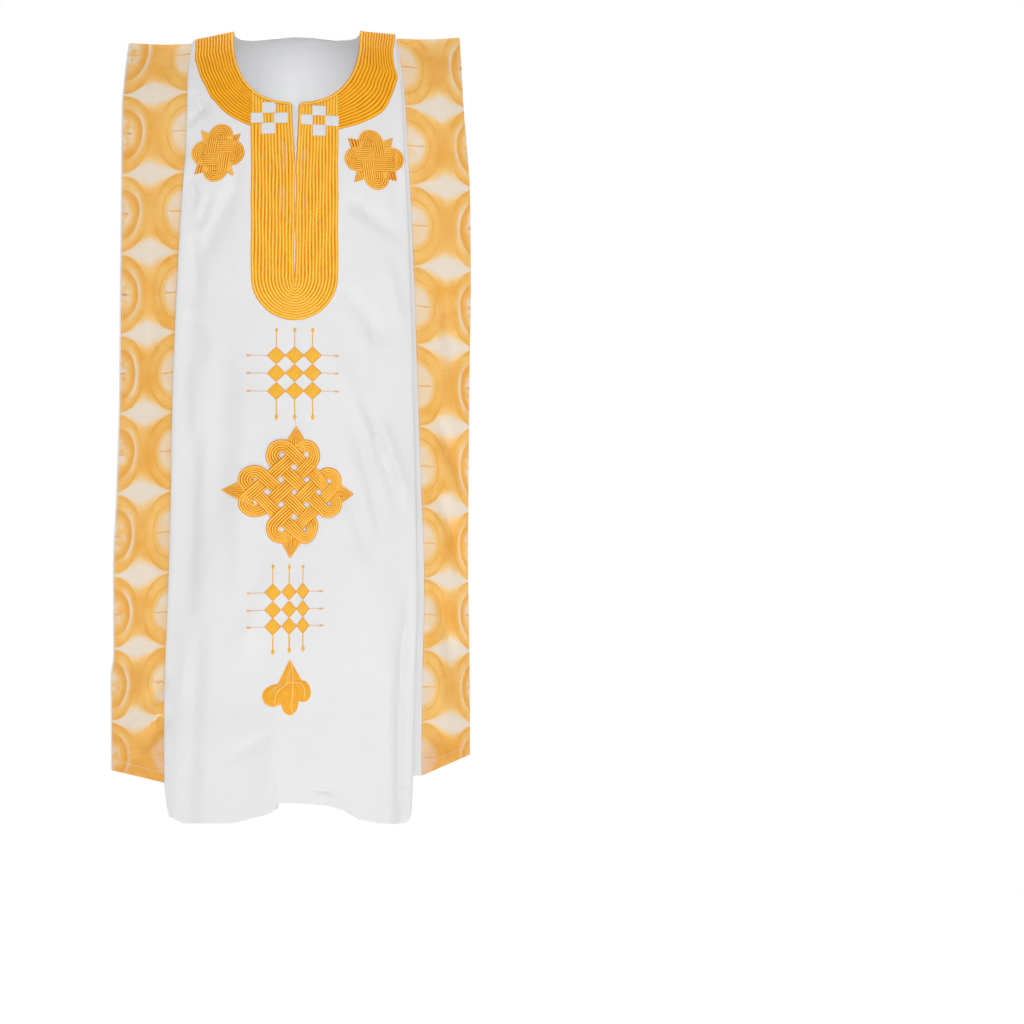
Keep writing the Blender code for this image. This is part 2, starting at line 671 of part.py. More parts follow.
def in_any(place, loops):
    return any(within(place, loop) for loop in loops)


def in_first_only(place, loops):
    return within(place, loops[0]) and not any(within(place, loop) for loop in loops[1:])


def build():
    for stale in list(bpy.data.objects):
        bpy.data.objects.remove(stale)
    white = new_material("white_cotton", (0.86, 0.86, 0.88), 0.75)
    dyed = new_material("tie_dyed_cotton", (0.93, 0.62, 0.27), 0.75)
    gold = new_material("gold_couched_cord", (0.88, 0.47, 0.05), 0.5)
    satin = new_material("gold_satin_stitch", (0.90, 0.50, 0.06), 0.5)
    front, back = Half(FRONT), Half(BACK)

    neck = [front.place_of(x, z) for x, z in neck_front_loop()]
    neck = [(neck[0][0], -1.0)] + neck + [(neck[-1][0], -1.0)]
    cut = triangles_within(front, (0, 0), front.last, [neck], lambda place: not within(place, neck))
    add_wall("front_panel", front, *cut, -0.5 * WALL, 0.5 * WALL, white)

    neck_line = back_curve(NECK_HALF_WIDTH, NECK_HALF_WIDTH, NECK_BACK_DEPTH, CURVE_POWER)
    neck_back = [back.place_of(x, shoulder_height(x) - drop) for x, drop in neck_line]
    notch = [(neck_back[0][0], -1.0)] + neck_back + [(neck_back[-1][0], -1.0)]
    cut = triangles_within(back, (0, 0), back.last, [notch], lambda place: not within(place, notch))
    add_wall("back_panel", back, *cut, -0.5 * WALL, 0.5 * WALL, white)

    foot = 0.5 * WALL + CLEARANCE
    for half, side_name in ((front, "front"), (back, "back")):
        for wearer, first in (("right", 1), ("left", half.count - 5)):
            places, faces = grid_triangles(first, first + 4)
            add_wall(f"strip_{side_name}_{wearer}", half, places, faces, foot, foot + STRIP_WALL, dyed)

    yoke_line = back_curve(YOKE_RIGHT[0][0], YOKE_LEFT[0][0], YOKE_BACK_DEPTH, YOKE_BACK_POWER, 24)
    yoke_loop = neck_line + yoke_line[::-1]
    yoke_loop = [(x, shoulder_height(x) - drop) for x, drop in yoke_loop]
    add_applique("yoke_back", back, [yoke_loop], in_any, CORD_WALL, gold)
    add_applique("yoke_front_right", front, [yoke_front_loop(-1)], in_any, CORD_WALL, gold)
    add_applique("yoke_front_left", front, [yoke_front_loop(1)], in_any, CORD_WALL, gold)
    add_applique("placket", front, [placket_loop()], in_any, CORD_WALL, gold)

    for name, (x, z, lean, length, width) in CHEST_MOTIFS.items():
        grown = length + 0.5 * width
        loop = star_loop((x, z), lambda a, b: in_loops(a, b, grown, 1.35 * width, lean), 0.06, 40)
        add_applique(name, front, [loop], in_any, CORD_WALL, gold)
    knot = star_loop(KNOT_CENTRE, in_knot, 0.12, 72)
    add_applique("knot", front, [knot] + knot_holes(), in_first_only, CORD_WALL, gold)
    leaf = star_loop(LEAF_CENTRE, in_leaf, 0.05, 32)
    add_applique("leaf", front, [leaf], in_any, THREAD_WALL, satin)
    for name, sizes in LATTICES.items():
        add_applique(name, front, lattice_loops(*sizes), in_any, THREAD_WALL, satin)


build()
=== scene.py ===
"""Grand boubou robe: white cloth, tie-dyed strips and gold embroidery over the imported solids.

Metres, +Z up. x runs to the wearer's left and the front faces -Y. The origin is the middle of the neck
opening. Tables that mm() reads are in millimetres.
"""

import math

import bmesh
import bpy
import numpy as np
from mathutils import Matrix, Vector


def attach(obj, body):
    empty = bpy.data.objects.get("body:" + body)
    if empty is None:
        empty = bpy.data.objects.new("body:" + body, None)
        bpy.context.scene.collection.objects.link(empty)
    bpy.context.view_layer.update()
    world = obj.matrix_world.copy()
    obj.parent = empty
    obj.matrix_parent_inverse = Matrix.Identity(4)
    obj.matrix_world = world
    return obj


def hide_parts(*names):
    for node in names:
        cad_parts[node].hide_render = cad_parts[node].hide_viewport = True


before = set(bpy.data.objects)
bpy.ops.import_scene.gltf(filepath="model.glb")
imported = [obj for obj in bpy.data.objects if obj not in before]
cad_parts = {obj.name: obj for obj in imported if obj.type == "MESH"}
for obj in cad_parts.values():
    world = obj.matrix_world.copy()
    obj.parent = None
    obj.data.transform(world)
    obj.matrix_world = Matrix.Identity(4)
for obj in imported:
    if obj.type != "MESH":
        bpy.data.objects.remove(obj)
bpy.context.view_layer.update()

RANDOM = np.random.default_rng(11)


def mm(rows):
    """Millimetres to metres, to the nearest tenth of a micron."""
    return np.round(np.array(rows, float) / 1000, 7)


# ---- sizes shared with the solids ----

WALL = 0.0014
STRIP_WALL = 0.0010
SEAM = 0.0002  # from the shoulder line to either half
BODY_LENGTH = 1.19
WHITE_EDGE = 0.003
CHEST_DROP = 0.2
SIDE_FULLNESS = 2.6
TIP_ROLL = 0.03

# Height of the shoulder line across the body: x, z
SHOULDER_LINE = mm([(-270, -15), (-160, -9), (-96, 3), (0, 18), (96, 4), (150, -1), (260, -7)])

# Half the gap of the arm opening, which closes at the side seam: drop, y
ARM_OPENING = mm([(0, 12), (60, 31), (150, 44), (500, 50), (800, 41), (950, 17), (1030, 1.4), (1200, 1.4)])

# Radius of one turn of a folded wing: drop, radius
TURN = mm([(0, 1.6), (300, 3), (1200, 3.4)])

# ---- creases ----

CREASE_GAIN = 1.9
CREASE_REACH = 0.06  # beyond its ends and middle a crease is left out
CREASE_FADE = 0.35  # share of its length over which it dies out
STEP_WIDTH = 0.0034  # of the steep side of a step
HEM_DEPTH = 0.020  # turned-up hem, with its stitches at the upper edge
HEM_EXTRA = 0.0010


def hermite(x, y, slope, at):
    """A smooth curve through points that lie along the last axis of y, with these slopes."""
    n = np.clip(np.searchsorted(x, at, side="right") - 1, 0, len(x) - 2)
    width = x[n + 1] - x[n]
    t = (at - x[n]) / width
    start = y[..., n] * (1 + 2 * t) * (1 - t) ** 2 + width * slope[..., n] * t * (1 - t) ** 2
    return start + y[..., n + 1] * t * t * (3 - 2 * t) - width * slope[..., n + 1] * t * t * (1 - t)


def eased(table, at, value=1):
    """One column of a table read at a value of its first one, on a smooth curve that never overshoots."""
    x, y = table[:, 0], table[:, value]
    step = np.diff(x)
    rate = np.diff(y) / step
    slope = np.zeros_like(y)
    slope[0], slope[-1] = rate[0], rate[-1]
    both = rate[:-1] * rate[1:] > 0
    before, after = 2 * step[1:] + step[:-1], step[1:] + 2 * step[:-1]
    low, high = np.where(both, rate[:-1], 1), np.where(both, rate[1:], 1)
    slope[1:-1] = np.where(both, (before + after) / (before / low + after / high), 0)
    return hermite(x, y, slope, np.clip(at, x[0], x[-1]))


def straight(table, at):
    return np.interp(at, table[:, 0], table[:, 1])


def smooth(at, start, end):
    share = np.clip((at - start) / (end - start), 0, 1)
    return share * share * (3 - 2 * share)


def shoulder_height(x):
    return eased(SHOULDER_LINE, x)


def between(one, two, count):
    """Points from one to the other, both included."""
    return [(1 - share) * one + share * two for share in np.linspace(0, 1, count)]


def crease_height(ends, width_right, width_left, height, runs_on, x, z):
    """How far one soft crease moves the cloth out at points seen from in front."""
    low, high = ends.min(axis=0) - CREASE_REACH, ends.max(axis=0) + CREASE_REACH
    near = (x > low[0]) & (x < high[0]) & (z > (-9 if runs_on else low[1])) & (z < high[1])
    moved = np.zeros(np.shape(x))
    if not near.any():
        return moved
    spots = np.stack([x[near], z[near]], axis=1)
    turns = np.linspace(0, 1, 11)[:, None]
    bend = 2 * ends[1] - 0.5 * (ends[0] + ends[2])
    line = ends[0] * (1 - turns) ** 2 + 2 * bend * turns * (1 - turns) + ends[2] * turns**2
    if runs_on:
        line[-1] += 0.3 * (line[-1] - line[-2]) - [0, 0.05]
    best = np.full(len(spots), 9.0)
    side, along = np.zeros((2, len(spots)))
    for n, step in enumerate(np.diff(line, axis=0)):
        share = np.clip((spots - line[n]) @ step / (step @ step), 0, 1)
        far = spots - line[n] - share[:, None] * step
        distance = (far**2).sum(axis=1)
        nearer = distance < best
        best = np.where(nearer, distance, best)
        side = np.where(nearer, step[0] * far[:, 1] - step[1] * far[:, 0], side)
        along = np.where(nearer, (n + share) / (len(turns) - 1), along)
    width = np.where(side > 0, width_left, width_right)
    fade = smooth(along, 0, CREASE_FADE) * (1 if runs_on else smooth(1 - along, 0, CREASE_FADE))
    moved[near] = CREASE_GAIN * height * fade * np.exp(-best / width**2)
    return moved


# ---- the surface of the cloth ----


class Half:
    """The front or the back of the body as a smooth surface."""

    def __init__(self, creases, **shape):
        vars(self).update(shape)
        self.creases = [(mm(row[:6]).reshape(3, 2), *mm(row[6:9]), row[9]) for row in creases]

    def line(self, number, drop):
        return eased(self.lines, drop, number)

    def marks(self, drop):
        """x of each guide across the middle, from the right fold to the left one."""
        turn = straight(TURN, drop)
        inner = [eased(table, drop) for table in self.guides]
        return np.stack([self.line(3, drop) + turn, *inner, self.line(4, drop) - turn])

    def across(self, place, drop):
        """x of a place between the guides: 0 is the right fold and each whole number the next guide."""
        place, drop = np.broadcast_arrays(place, drop)
        marks = self.marks(drop)
        first = np.clip(np.floor(place).astype(int), 0, len(marks) - 2)
        start, end = (np.take_along_axis(marks, first[None] + n, 0)[0] for n in (0, 1))
        return start + (place - first) * (end - start)

    def place_at(self, x, drop):
        marks = self.marks(drop)
        place = np.zeros(np.shape(x))
        for one, two in zip(marks[:-1], marks[1:]):
            place = place + np.clip((x - one) / (two - one), 0, 1)
        return place

    def stretch_at(self, hem_x, hem):
        return (shoulder_height(hem_x) - hem) / BODY_LENGTH

    def relief(self, x, drop, z):
        """How far folds and creases move the cloth out."""
        moved = np.zeros(np.shape(x))
        for top, mid, low, start, full, width, height in self.folds:
            at = np.interp(drop, [0, 0.5 * BODY_LENGTH, BODY_LENGTH], [top, mid, low])
            moved = moved + height * smooth(drop, start, full) * np.exp(-(((x - at) / width) ** 2))
        for guide, side, *sizes in self.steps:
            out, sunk, width_out, width_sunk, start, full = mm(sizes)
            far = side * (x - eased(self.guides[guide], drop))
            share = 0.5 * (1 + np.tanh(far / STEP_WIDTH))
            raised = out * np.exp(-((far / width_out) ** 2))
            lowered = sunk * np.exp(-((far / width_sunk) ** 2))
            moved = moved + smooth(drop, start, full) * (share * raised - (1 - share) * lowered)
        for crease in self.creases:
            moved = moved + crease_height(*crease, x, z)
        return moved

    def surface(self, x, drop, stretch):
        """(y, z) of the middle of the cloth's outermost layer."""
        edge = np.where(x < 0, -self.line(1, drop), self.line(6, drop))
        out = np.clip(np.abs(x) / edge, 0, 1)
        depth = np.interp(drop, [CHEST_DROP, BODY_LENGTH], self.depths)
        gap = eased(ARM_OPENING, drop)
        reach = gap + (depth - gap) * (1 - out**SIDE_FULLNESS)
        roll = TIP_ROLL + (self.shoulder_roll - TIP_ROLL) * (1 - out**3)
        rolled = np.sqrt(1 - (1 - np.clip(drop / roll, 0, 1)) ** 2)
        z = shoulder_height(x) - drop * stretch
        y = SEAM + reach * rolled + self.relief(x, drop, z) * smooth(drop, 0, 0.03)
        return self.toward * y, z

    def placed(self, x, layer, drop, stretch):
        """Points of the cloth moved in by the depth of its layer."""
        y, z = self.surface(x, drop, stretch)
        along = np.stack(self.surface(x, drop + 1e-4, stretch)) - [y, z]
        along = along / np.linalg.norm(along, axis=0)
        inward_y = np.where(drop <= 0, 0, along[1] * self.toward)
        return np.stack([x, y + layer * inward_y, z - layer * along[0] * self.toward], axis=-1)

    def on(self, x, z, height=0.0):
        """Points of the middle at (x, z) seen from in front, moved out by height, and their normals."""
        drop = np.maximum(shoulder_height(x) - z, 0)
        for _ in range(5):
            hem_x = self.across(self.place_at(x, drop), np.full(x.shape, BODY_LENGTH))
            stretch = self.stretch_at(hem_x, straight(self.hem, hem_x))
            drop = np.maximum((shoulder_height(x) - z) / stretch, 0)

        def spot(x, drop):
            return np.stack([x, *self.surface(x, drop, stretch)], axis=-1)

        step = 4e-4
        across = spot(x + step, drop) - spot(x - step, drop)
        down = spot(x, drop + step) - spot(x, np.maximum(drop - step, 0))
        normal = self.toward * np.cross(across, down)
        normal /= np.linalg.norm(normal, axis=-1, keepdims=True)
        return spot(x, drop) + np.asarray(height)[..., None] * normal, normal


# What each half is given, in millimetres in its tables:
# depths: at the chest and at the hem. tuck: width of a wing's folded-back part at the top and at the hem
# wing_hems: z beside the fold and at the edge, for each side. hem, of the middle: x, z
# lines: drop, then x of the right wing's edge, strip and fold, and of the left wing's fold, strip and edge
# folds, large and soft: x at the shoulder, mid-length and hem, the drops between which it grows, half width,
#   height
# guides, the lines of steep folds: drop, x
# steps, the steep folds: guide, the side that stands out (-1 is the wearer's right), how far it stands out
#   and how far the other side sinks, the widths of both, the drops between which it grows
# creases, soft: start x, z; middle x, z; end x, z; half width on the wearer's right and left, height, and 1
#   where it runs on over the hem instead of dying out
FRONT_HALF = Half(
    toward=-1,
    depths=(0.130, 0.150),
    shoulder_roll=0.30,
    tuck=(0.052, 0.070),
    wing_hems={-1: (-1.1415, -1.1213), 1: (-1.1290, -1.0980)},
    lines=mm([
        (0, -257, -154, -158, 150, 152, 248), (50, -262, -161, -165, 155, 159, 250),
        (100, -266, -162, -166, 161, 165, 252.3), (170, -267, -164, -168, 163.4, 168, 257.5),
        (250, -267.5, -170, -174, 168, 173, 263), (400, -269, -178, -182, 174, 179, 264.5),
        (560, -270, -184, -188, 178, 184, 262.5), (740, -275, -187, -191, 182, 190, 261),
        (870, -280, -191, -195, 184, 194, 260), (1000, -280, -196, -200, 180, 192, 261.5),
        (1040, -284, -197, -200.6, 179, 191, 262), (1140, -283.4, -197, -200.6, 177, 190, 262.5),
        (1190, -283.4, -193, -196, 175, 190, 262.5),
    ]),
    hem=mm([
        (-200, -1180), (-195, -1190), (-172, -1201.4), (-96, -1200.8), (-42, -1186.5), (-32.5, -1181),
        (-28.5, -1169), (6, -1170.4), (50, -1174.2), (71, -1181), (96, -1194.7), (120, -1200),
        (147, -1202.3), (169, -1200), (175, -1194),
    ]),
    folds=mm([
        (-150, -163, -180, 120, 600, 13, -6.5), (-110, -125, -150, 300, 1000, 22, 4),
        (60, 50, 75, 500, 1190, 30, -6), (110, 120, 135, 300, 1100, 28, 5.5),
        (-30, -30, -40, 800, 1190, 24, 5),
    ]),
    guides=[mm([(0, -40), (700, -30), (1060, -33), (1190, -30.5)])],
    steps=[(0, -1, 2.8, 3, 24, 22, 1100, 1190)],
    creases=[
        (-82, -228, -118, -278, -150, -372, 9, 14, -3.8, 0),
        (-161, -82, -147, -108, -131, -126, 4.5, 5.5, -4.2, 0),
        (-163, -142, -153, -124, -140, -110, 4, 5, -3.6, 0),
        (-176, -150, -171, -172, -170, -196, 4, 5, -3.1, 0),
        (-168, -215, -158, -240, -150, -275, 5, 6, -4.2, 0),
        (-131, -240, -139, -270, -146, -300, 6, 7, -3.9, 0),
        (-160, -300, -152, -350, -149, -420, 6, 7.5, -3.6, 0),
        (-168, -430, -150, -452, -126, -508, 6, 8.5, -3.6, 0),
        (-164, -500, -154, -560, -151, -640, 7, 9, 3, 0),
        (-112, -420, -118, -634, -132, -800, 14, 20, -4, 0),
        (-150, -560, -158, -760, -170, -980, 8, 12, -4.6, 0),
        (-164, -800, -172, -936, -184, -1160, 9, 11, 4.2, 1),
        (-147, -860, -152, -1000, -160, -1180, 8, 12, -3.6, 1),
        (-75, -480, -82, -700, -92, -930, 16, 22, 2.6, 0),
        (-104, -140, -94, -200, -100, -270, 7, 9, -2.2, 0),
        (146, -150, 152, -210, 150, -290, 6, 7, -2.6, 0), (67, -249, 112, -277, 161, -319, 9, 13, -3.4, 0),
        (67, -380, 108, -436, 128, -482, 10, 14, -3.4, 0), (134, -330, 150, -400, 162, -460, 7, 8, 2.6, 0),
        (30, -470, 85, -545, 120, -640, 10, 14, 2.2, 0), (86, -530, 132, -640, 160, -760, 7.5, 11, -5.2, 0),
        (72, -560, 108, -670, 128, -780, 8, 12, -4.2, 0), (108, -560, 150, -650, 172, -740, 7, 8, 4, 0),
        (60, -660, 90, -735, 118, -830, 9, 13, -3.4, 0), (-20, -800, -58, -880, -100, -980, 16, 18, 2.2, 0),
        (-35, -1059, -70, -1082, -125, -1102, 8, 12, -1.2, 0),
        (176, -820, 166, -900, 160, -1000, 6, 6, -5.2, 0),
        (168, -900, 160, -1020, 158, -1180, 7, 8, -4.4, 1),
        (148, -900, 142, -1020, 146, -1180, 8, 10, 3, 1),
        (95, -820, 100, -960, 110, -1120, 16, 20, -2.6, 0),
        (32, -1150.6, 47, -1153, 62, -1156, 3, 3, -1.6, 0),
        (36, -1144, 50, -1146.5, 66, -1150, 3.5, 3.5, -1.3, 0),
        (41, -822, 82, -826, 124, -823.5, 1.8, 1.8, -0.6, 0),
        (124, -780, 124.5, -800, 125, -824, 1.8, 1.8, -0.5, 0),
        (-225, -300, -215, -420, -230, -560, 8, 12, -2, 0),
        (-205, -700, -215, -800, -205, -930, 8, 12, -2.2, 0),
        (205, -560, 235, -640, 255, -700, 8, 10, -4.4, 0),
        (205, -690, 235, -760, 250, -850, 8, 10, -4.4, 0),
        (200, -840, 225, -900, 236, -985, 8, 10, -4.4, 0),
        (200, -960, 222, -1020, 236, -1090, 7, 9, 1.6, 0),
        (215, -380, 228, -450, 236, -540, 8, 12, -3.1, 0),
        (-196, -960, -212, -1000, -240, -1030, 6, 9, -4.4, 0),
        (-194, -1020, -212, -1060, -244, -1085, 6, 9, -4.8, 0),
        (194, -1040, 216, -1075, 240, -1090, 8, 10, -2.2, 0),
    ],
)
BACK_HALF = Half(
    toward=1,
    depths=(0.115, 0.135),
    shoulder_roll=0.20,
    tuck=(0.045, 0.060),
    wing_hems={-1: (-1.1390, -1.1185), 1: (-1.1270, -1.0955)},
    lines=mm([
        (0, -256, -160, -158, 150, 158, 246.5), (60, -255, -160, -149, 146, 162.6, 249),
        (120, -255, -161, -143, 143, 162.6, 251.5), (200, -255.4, -164, -141.4, 139, 163, 254.5),
        (300, -255.4, -169, -137, 137, 164, 254), (440, -256, -175, -144.4, 143, 167, 252.5),
        (570, -260, -180, -152, 153.5, 171, 252.5), (730, -270.6, -187, -158, 159.6, 175, 255.4),
        (880, -276.6, -196, -158, 165.7, 178, 254), (1030, -280.5, -203.7, -153, 171.8, 182, 252),
        (1140, -281.5, -206.7, -145.5, 164, 180, 256), (1190, -281.5, -206.7, -142, 152, 180, 256),
    ]),
    hem=mm([
        (-145, -1152), (-136, -1160), (-122, -1172), (-96, -1172), (-92, -1184), (-30.5, -1183.5),
        (-27, -1151), (14, -1161), (60, -1172), (96, -1182), (118, -1184), (136, -1172), (152, -1156),
    ]),
    folds=mm([
        (40, 50, 70, 100, 800, 30, 5), (-96, -90, -88, 100, 900, 13, -6),
        (-118, -120, -122, 200, 900, 16, 4.5),
    ]),
    guides=[
        mm([(0, -62), (100, -54.7), (230, -38), (400, -32), (620, -28), (1190, -28.8)]),
        mm([(0, 62), (200, 75), (480, 96), (730, 110), (900, 120), (1190, 124.6)]),
    ],
    steps=[(0, -1, 5.5, 6.5, 34, 22, 30, 500), (1, -1, 5, 6, 28, 19, 140, 800)],
    creases=[
        (101, -200, 106, -500, 109, -950, 13, 16, -3.4, 0), (76, -220, 78, -550, 80, -1000, 16, 20, 2.2, 0),
        (-32, -150, -30, -350, -26, -620, 14, 18, 2.4, 0),
        (124.6, -222, 138.3, -333, 133.7, -470, 6, 3, -4, 0),
        (120, -250, 129, -380, 127, -520, 15, 9, 2.6, 0),
        (-65.4, -50, -64, -130, -60, -350, 4.5, 6, 1.9, 0),
        (-97.3, -181, -100.3, -330, -108, -572, 13.5, 18, -3.6, 0),
        (-93, -652, -118.6, -754, -138, -940, 18, 15, -4.1, 0),
        (-78, -700, -96, -900, -95, -1180, 18, 9, 3.6, 1),
        (-115.5, -90, -128, -110, -138.3, -126, 5, 4, -2, 0),
        (-105, -146, -120, -160, -133.8, -176, 5, 4, -1.8, 0),
        (120, -80, 133, -110, 138, -150, 5, 5, -2.2, 0), (44, -55, 50, -90, 52, -140, 5, 6, -1.2, 0),
        (10, -50, 13, -80, 15, -120, 5, 5, -1.2, 0), (-15, -52, -17, -80, -18, -130, 5, 5, -1.2, 0),
        (163, -870, 156, -1020, 140, -1150, 12, 12, 3.6, 1),
        (6, -836, -8, -836.5, -24, -836, 2, 2, -0.8, 0),
        (-56, -400, -62, -700, -56, -1150, 21, 27, -2.9, 1),
        (20, -200, 28, -600, 36, -1100, 33, 42, 2.6, 0), (56, -520, 64, -800, 70, -1150, 21, 27, -2.4, 1),
        (-215, -350, -225, -470, -212, -600, 10, 8, -2.2, 0),
        (-205, -620, -232, -740, -262, -860, 8, 10, -3.2, 0),
        (-230, -900, -240, -1000, -262, -1120, 8, 10, -3, 0),
        (230, -560, 215, -700, 205, -860, 12, 15, -3.1, 0),
        (235, -880, 215, -990, 198, -1100, 8, 10, -3, 0),
    ],
)


def normals_of(points, toward):
    normal = toward * np.cross(np.gradient(points, axis=0), np.gradient(points, axis=1))
    return normal / np.maximum(np.linalg.norm(normal, axis=2, keepdims=True), 1e-12)


# ---- meshes ----


def new_object(name, corners, faces, uvs, material):
    """A smooth mesh; uvs holds one (u, v) for each corner."""
    mesh = bpy.data.meshes.new(name)
    mesh.from_pydata(corners.tolist(), [], faces)
    layer = mesh.uv_layers.new(name="cloth")
    spots = np.empty(len(mesh.loops), int)
    mesh.loops.foreach_get("vertex_index", spots)
    layer.data.foreach_set("uv", np.asarray(uvs, np.float32)[spots].ravel())
    mesh.polygons.foreach_set("use_smooth", [True] * len(mesh.polygons))
    mesh.set_sharp_from_angle(angle=math.radians(58))
    mesh.materials.append(material)
    made = bpy.data.objects.new(name, mesh)
    bpy.context.scene.collection.objects.link(made)
    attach(made, "root")
    return made


def wall_faces(columns, rows, turned, first=0):
    """Faces of a closed wall between two grids of corners, of which the second follows the first."""
    count = columns * rows
    number = np.arange(count).reshape(columns, rows) + first
    quads = np.stack([number[:-1, :-1], number[1:, :-1], number[1:, 1:], number[:-1, 1:]], axis=-1)
    quads = quads.reshape(-1, 4)
    rim = np.concatenate([number[:, 0], number[-1, 1:], number[-2::-1, -1], number[0, -2:0:-1]])
    after = np.roll(rim, -1)
    sides = np.stack([rim, rim + count, after + count, after], axis=-1)
    found = np.concatenate([quads, quads[:, ::-1] + count, sides])
    return [tuple(face) for face in (found[:, ::-1] if turned else found).tolist()]


def shell(name, outer, inner, uvs, material, toward):
    """A closed wall between two grids of points."""
    corners = np.concatenate([outer.reshape(-1, 3), inner.reshape(-1, 3)])
    faces = wall_faces(*outer.shape[:2], toward < 0)
    return new_object(name, corners, faces, np.tile(uvs.reshape(-1, 2), (2, 1)), material)


def lengths(path):
    """How far along a path each of its points lies."""
    return np.concatenate([[0], np.cumsum(np.linalg.norm(np.diff(path, axis=0), axis=1))])


def read_at(path, at, far):
    return np.stack([np.interp(at, far, column) for column in path.T], axis=1)


def resampled(path, spacing, closed=False):
    """A path's points at even spacing; any columns after x and z go along with them."""
    path = np.asarray(path, float)
    if closed:
        path = np.concatenate([path, path[:1]])
    far = lengths(path[:, :2])
    count = max(int(round(far[-1] / spacing)), 2)
    found = read_at(path, np.linspace(0, far[-1], count + 1), far)
    return found[:-1] if closed else found


def resampled_to(path, count):
    """A path's points at even spacing, as many as asked."""
    far = lengths(path)
    return read_at(path, np.linspace(0, far[-1], count), far)


def rounded(path, times):
    """A path with its bends eased, a little each time."""
    for _ in range(times):
        path[1:-1] = 0.25 * path[:-2] + 0.5 * path[1:-1] + 0.25 * path[2:]
    return path


CORD_POINTS = 7  # round the top of a cord
SINK = 0.0002  # how deep the foot of embroidery lies in the cloth
FOOT = 0.5 * WALL - SINK


class Threads:
    """Cords and patches laid on the cloth, gathered into one mesh."""

    def __init__(self, half=FRONT_HALF):
        self.half = half
        self.corners, self.faces, self.uvs = [], [], []
        self.count = 0

    def cord(self, path, width, height, spacing=0.004, closed=False):
        """One cord. Rows of a path are x, z and may go on with a lift and a width share.

        Without spacing the path keeps its points."""
        path = resampled(path, spacing, closed) if spacing else path
        if len(path) < 3:
            return
        steps, first, k = len(path), self.count, CORD_POINTS
        lift = path[:, 2] if path.shape[1] > 2 else np.zeros(steps)
        share = path[:, 3] if path.shape[1] > 3 else np.ones(steps)
        spots, normal = self.half.on(path[:, 0], path[:, 1])
        if closed:
            along = np.roll(spots, -1, axis=0) - np.roll(spots, 1, axis=0)
        else:
            along = np.gradient(spots, axis=0)
        side = np.cross(along, normal)
        side /= np.linalg.norm(side, axis=1, keepdims=True)
        turns = np.linspace(-0.5 * math.pi, 0.5 * math.pi, k)
        wobble = 1 + 0.05 * np.sin(np.arange(steps) * 0.9 + RANDOM.uniform(0, 6))
        half_width = (0.5 * width * share * wobble)[:, None, None]
        tall = (height * np.minimum(share, 1.0))[:, None, None]
        ring = spots[:, None] + half_width * np.sin(turns)[None, :, None] * side[:, None]
        ring = ring + ((FOOT + lift)[:, None, None] + tall * np.cos(turns)[None, :, None]) * normal[:, None]
        far = lengths(spots) + RANDOM.uniform(0, 1)
        uv = np.stack(np.broadcast_arrays(far[:, None], np.linspace(0, 1, k)[None]), axis=-1)
        for n in range(steps if closed else steps - 1):
            here, there = first + n * k, first + (n + 1) % steps * k
            self.faces += [(here + m, there + m, there + (m + 1) % k, here + (m + 1) % k) for m in range(k)]
        if not closed:
            self.faces.append(tuple(range(first, first + k)))
            end = first + (steps - 1) * k
            self.faces.append(tuple(range(end + k - 1, end - 1, -1)))
        self.corners.append(ring.reshape(-1, 3))
        self.uvs.append(uv.reshape(-1, 2))
        self.count += steps * k

    def patch(self, places, height, foot=FOOT, dome=0.5, rim=0.55):
        """A raised satin patch over a grid of (x, z) points."""
        places = np.asarray(places, float)
        columns, rows = places.shape[:2]
        across = np.sin(np.pi * np.linspace(0, 1, columns))[:, None] * np.sin(np.pi * np.linspace(0, 1, rows))
        edge = np.full((columns, rows), rim)
        edge[1:-1, 1:-1] = 1
        tall = height * edge * (1 - dome + dome * np.sqrt(across))
        flat = places.reshape(-1, 2)
        top, _ = self.half.on(*flat.T, foot + tall.ravel())
        low, _ = self.half.on(*flat.T, np.full(len(flat), foot - SINK))
        edge_a, edge_b = places[1, 0] - places[0, 0], places[0, 1] - places[0, 0]
        turned = (edge_a[0] * edge_b[1] - edge_a[1] * edge_b[0]) * self.half.toward > 0
        self.faces += wall_faces(columns, rows, turned, self.count)
        self.corners += [top, low]
        self.uvs += [flat, flat]
        self.count += 2 * len(flat)

    def build(self, name, material):
        corners, uvs = np.concatenate(self.corners), np.concatenate(self.uvs)
        return repaired(new_object(name, corners, self.faces, uvs, material))


def repaired(made):
    """Turns every closed part of a mesh the right way out."""
    work = bmesh.new()
    work.from_mesh(made.data)
    bmesh.ops.recalc_face_normals(work, faces=work.faces)
    work.to_mesh(made.data)
    work.free()
    return made


# ---- neckline ----

NECK_HALF_WIDTH = 0.0958
NECK_FRONT_DEPTH = 0.1050
NECK_BACK_DEPTH = 0.020
NECK_EDGE = 0.0056  # width of the satin band round the neckline and down the slit
CURVE_POWER = 2.4
SLIT_TOP = (-0.0066, 0.0040)  # its sides where it leaves the neckline
SLIT_END = -0.211
SLIT_AT = -0.0006


def superellipse(half_width, depth, side=1, stop_x=0.0, steps=90):
    """One side of the front neckline's curve, from the shoulder to where it has narrowed to stop_x."""
    turns = np.linspace(0, 0.5 * math.pi, steps)
    x = half_width * np.cos(turns) ** (2 / CURVE_POWER)
    z = -depth * np.sin(turns) ** (2 / CURVE_POWER)
    keep = x >= stop_x
    return np.stack([side * x[keep], z[keep]], axis=1)


def back_curve(left, right, depth, power, steps):
    """A curve below the back neck, from the left shoulder to the right one."""
    turns = np.linspace(0, math.pi, steps)
    half_width = np.where(turns < 0.5 * math.pi, left, right)
    x = half_width * np.sign(np.cos(turns)) * np.abs(np.cos(turns)) ** (2 / power)
    return np.stack([x, shoulder_height(x) - depth * np.sin(turns) ** (2 / power)], axis=1)


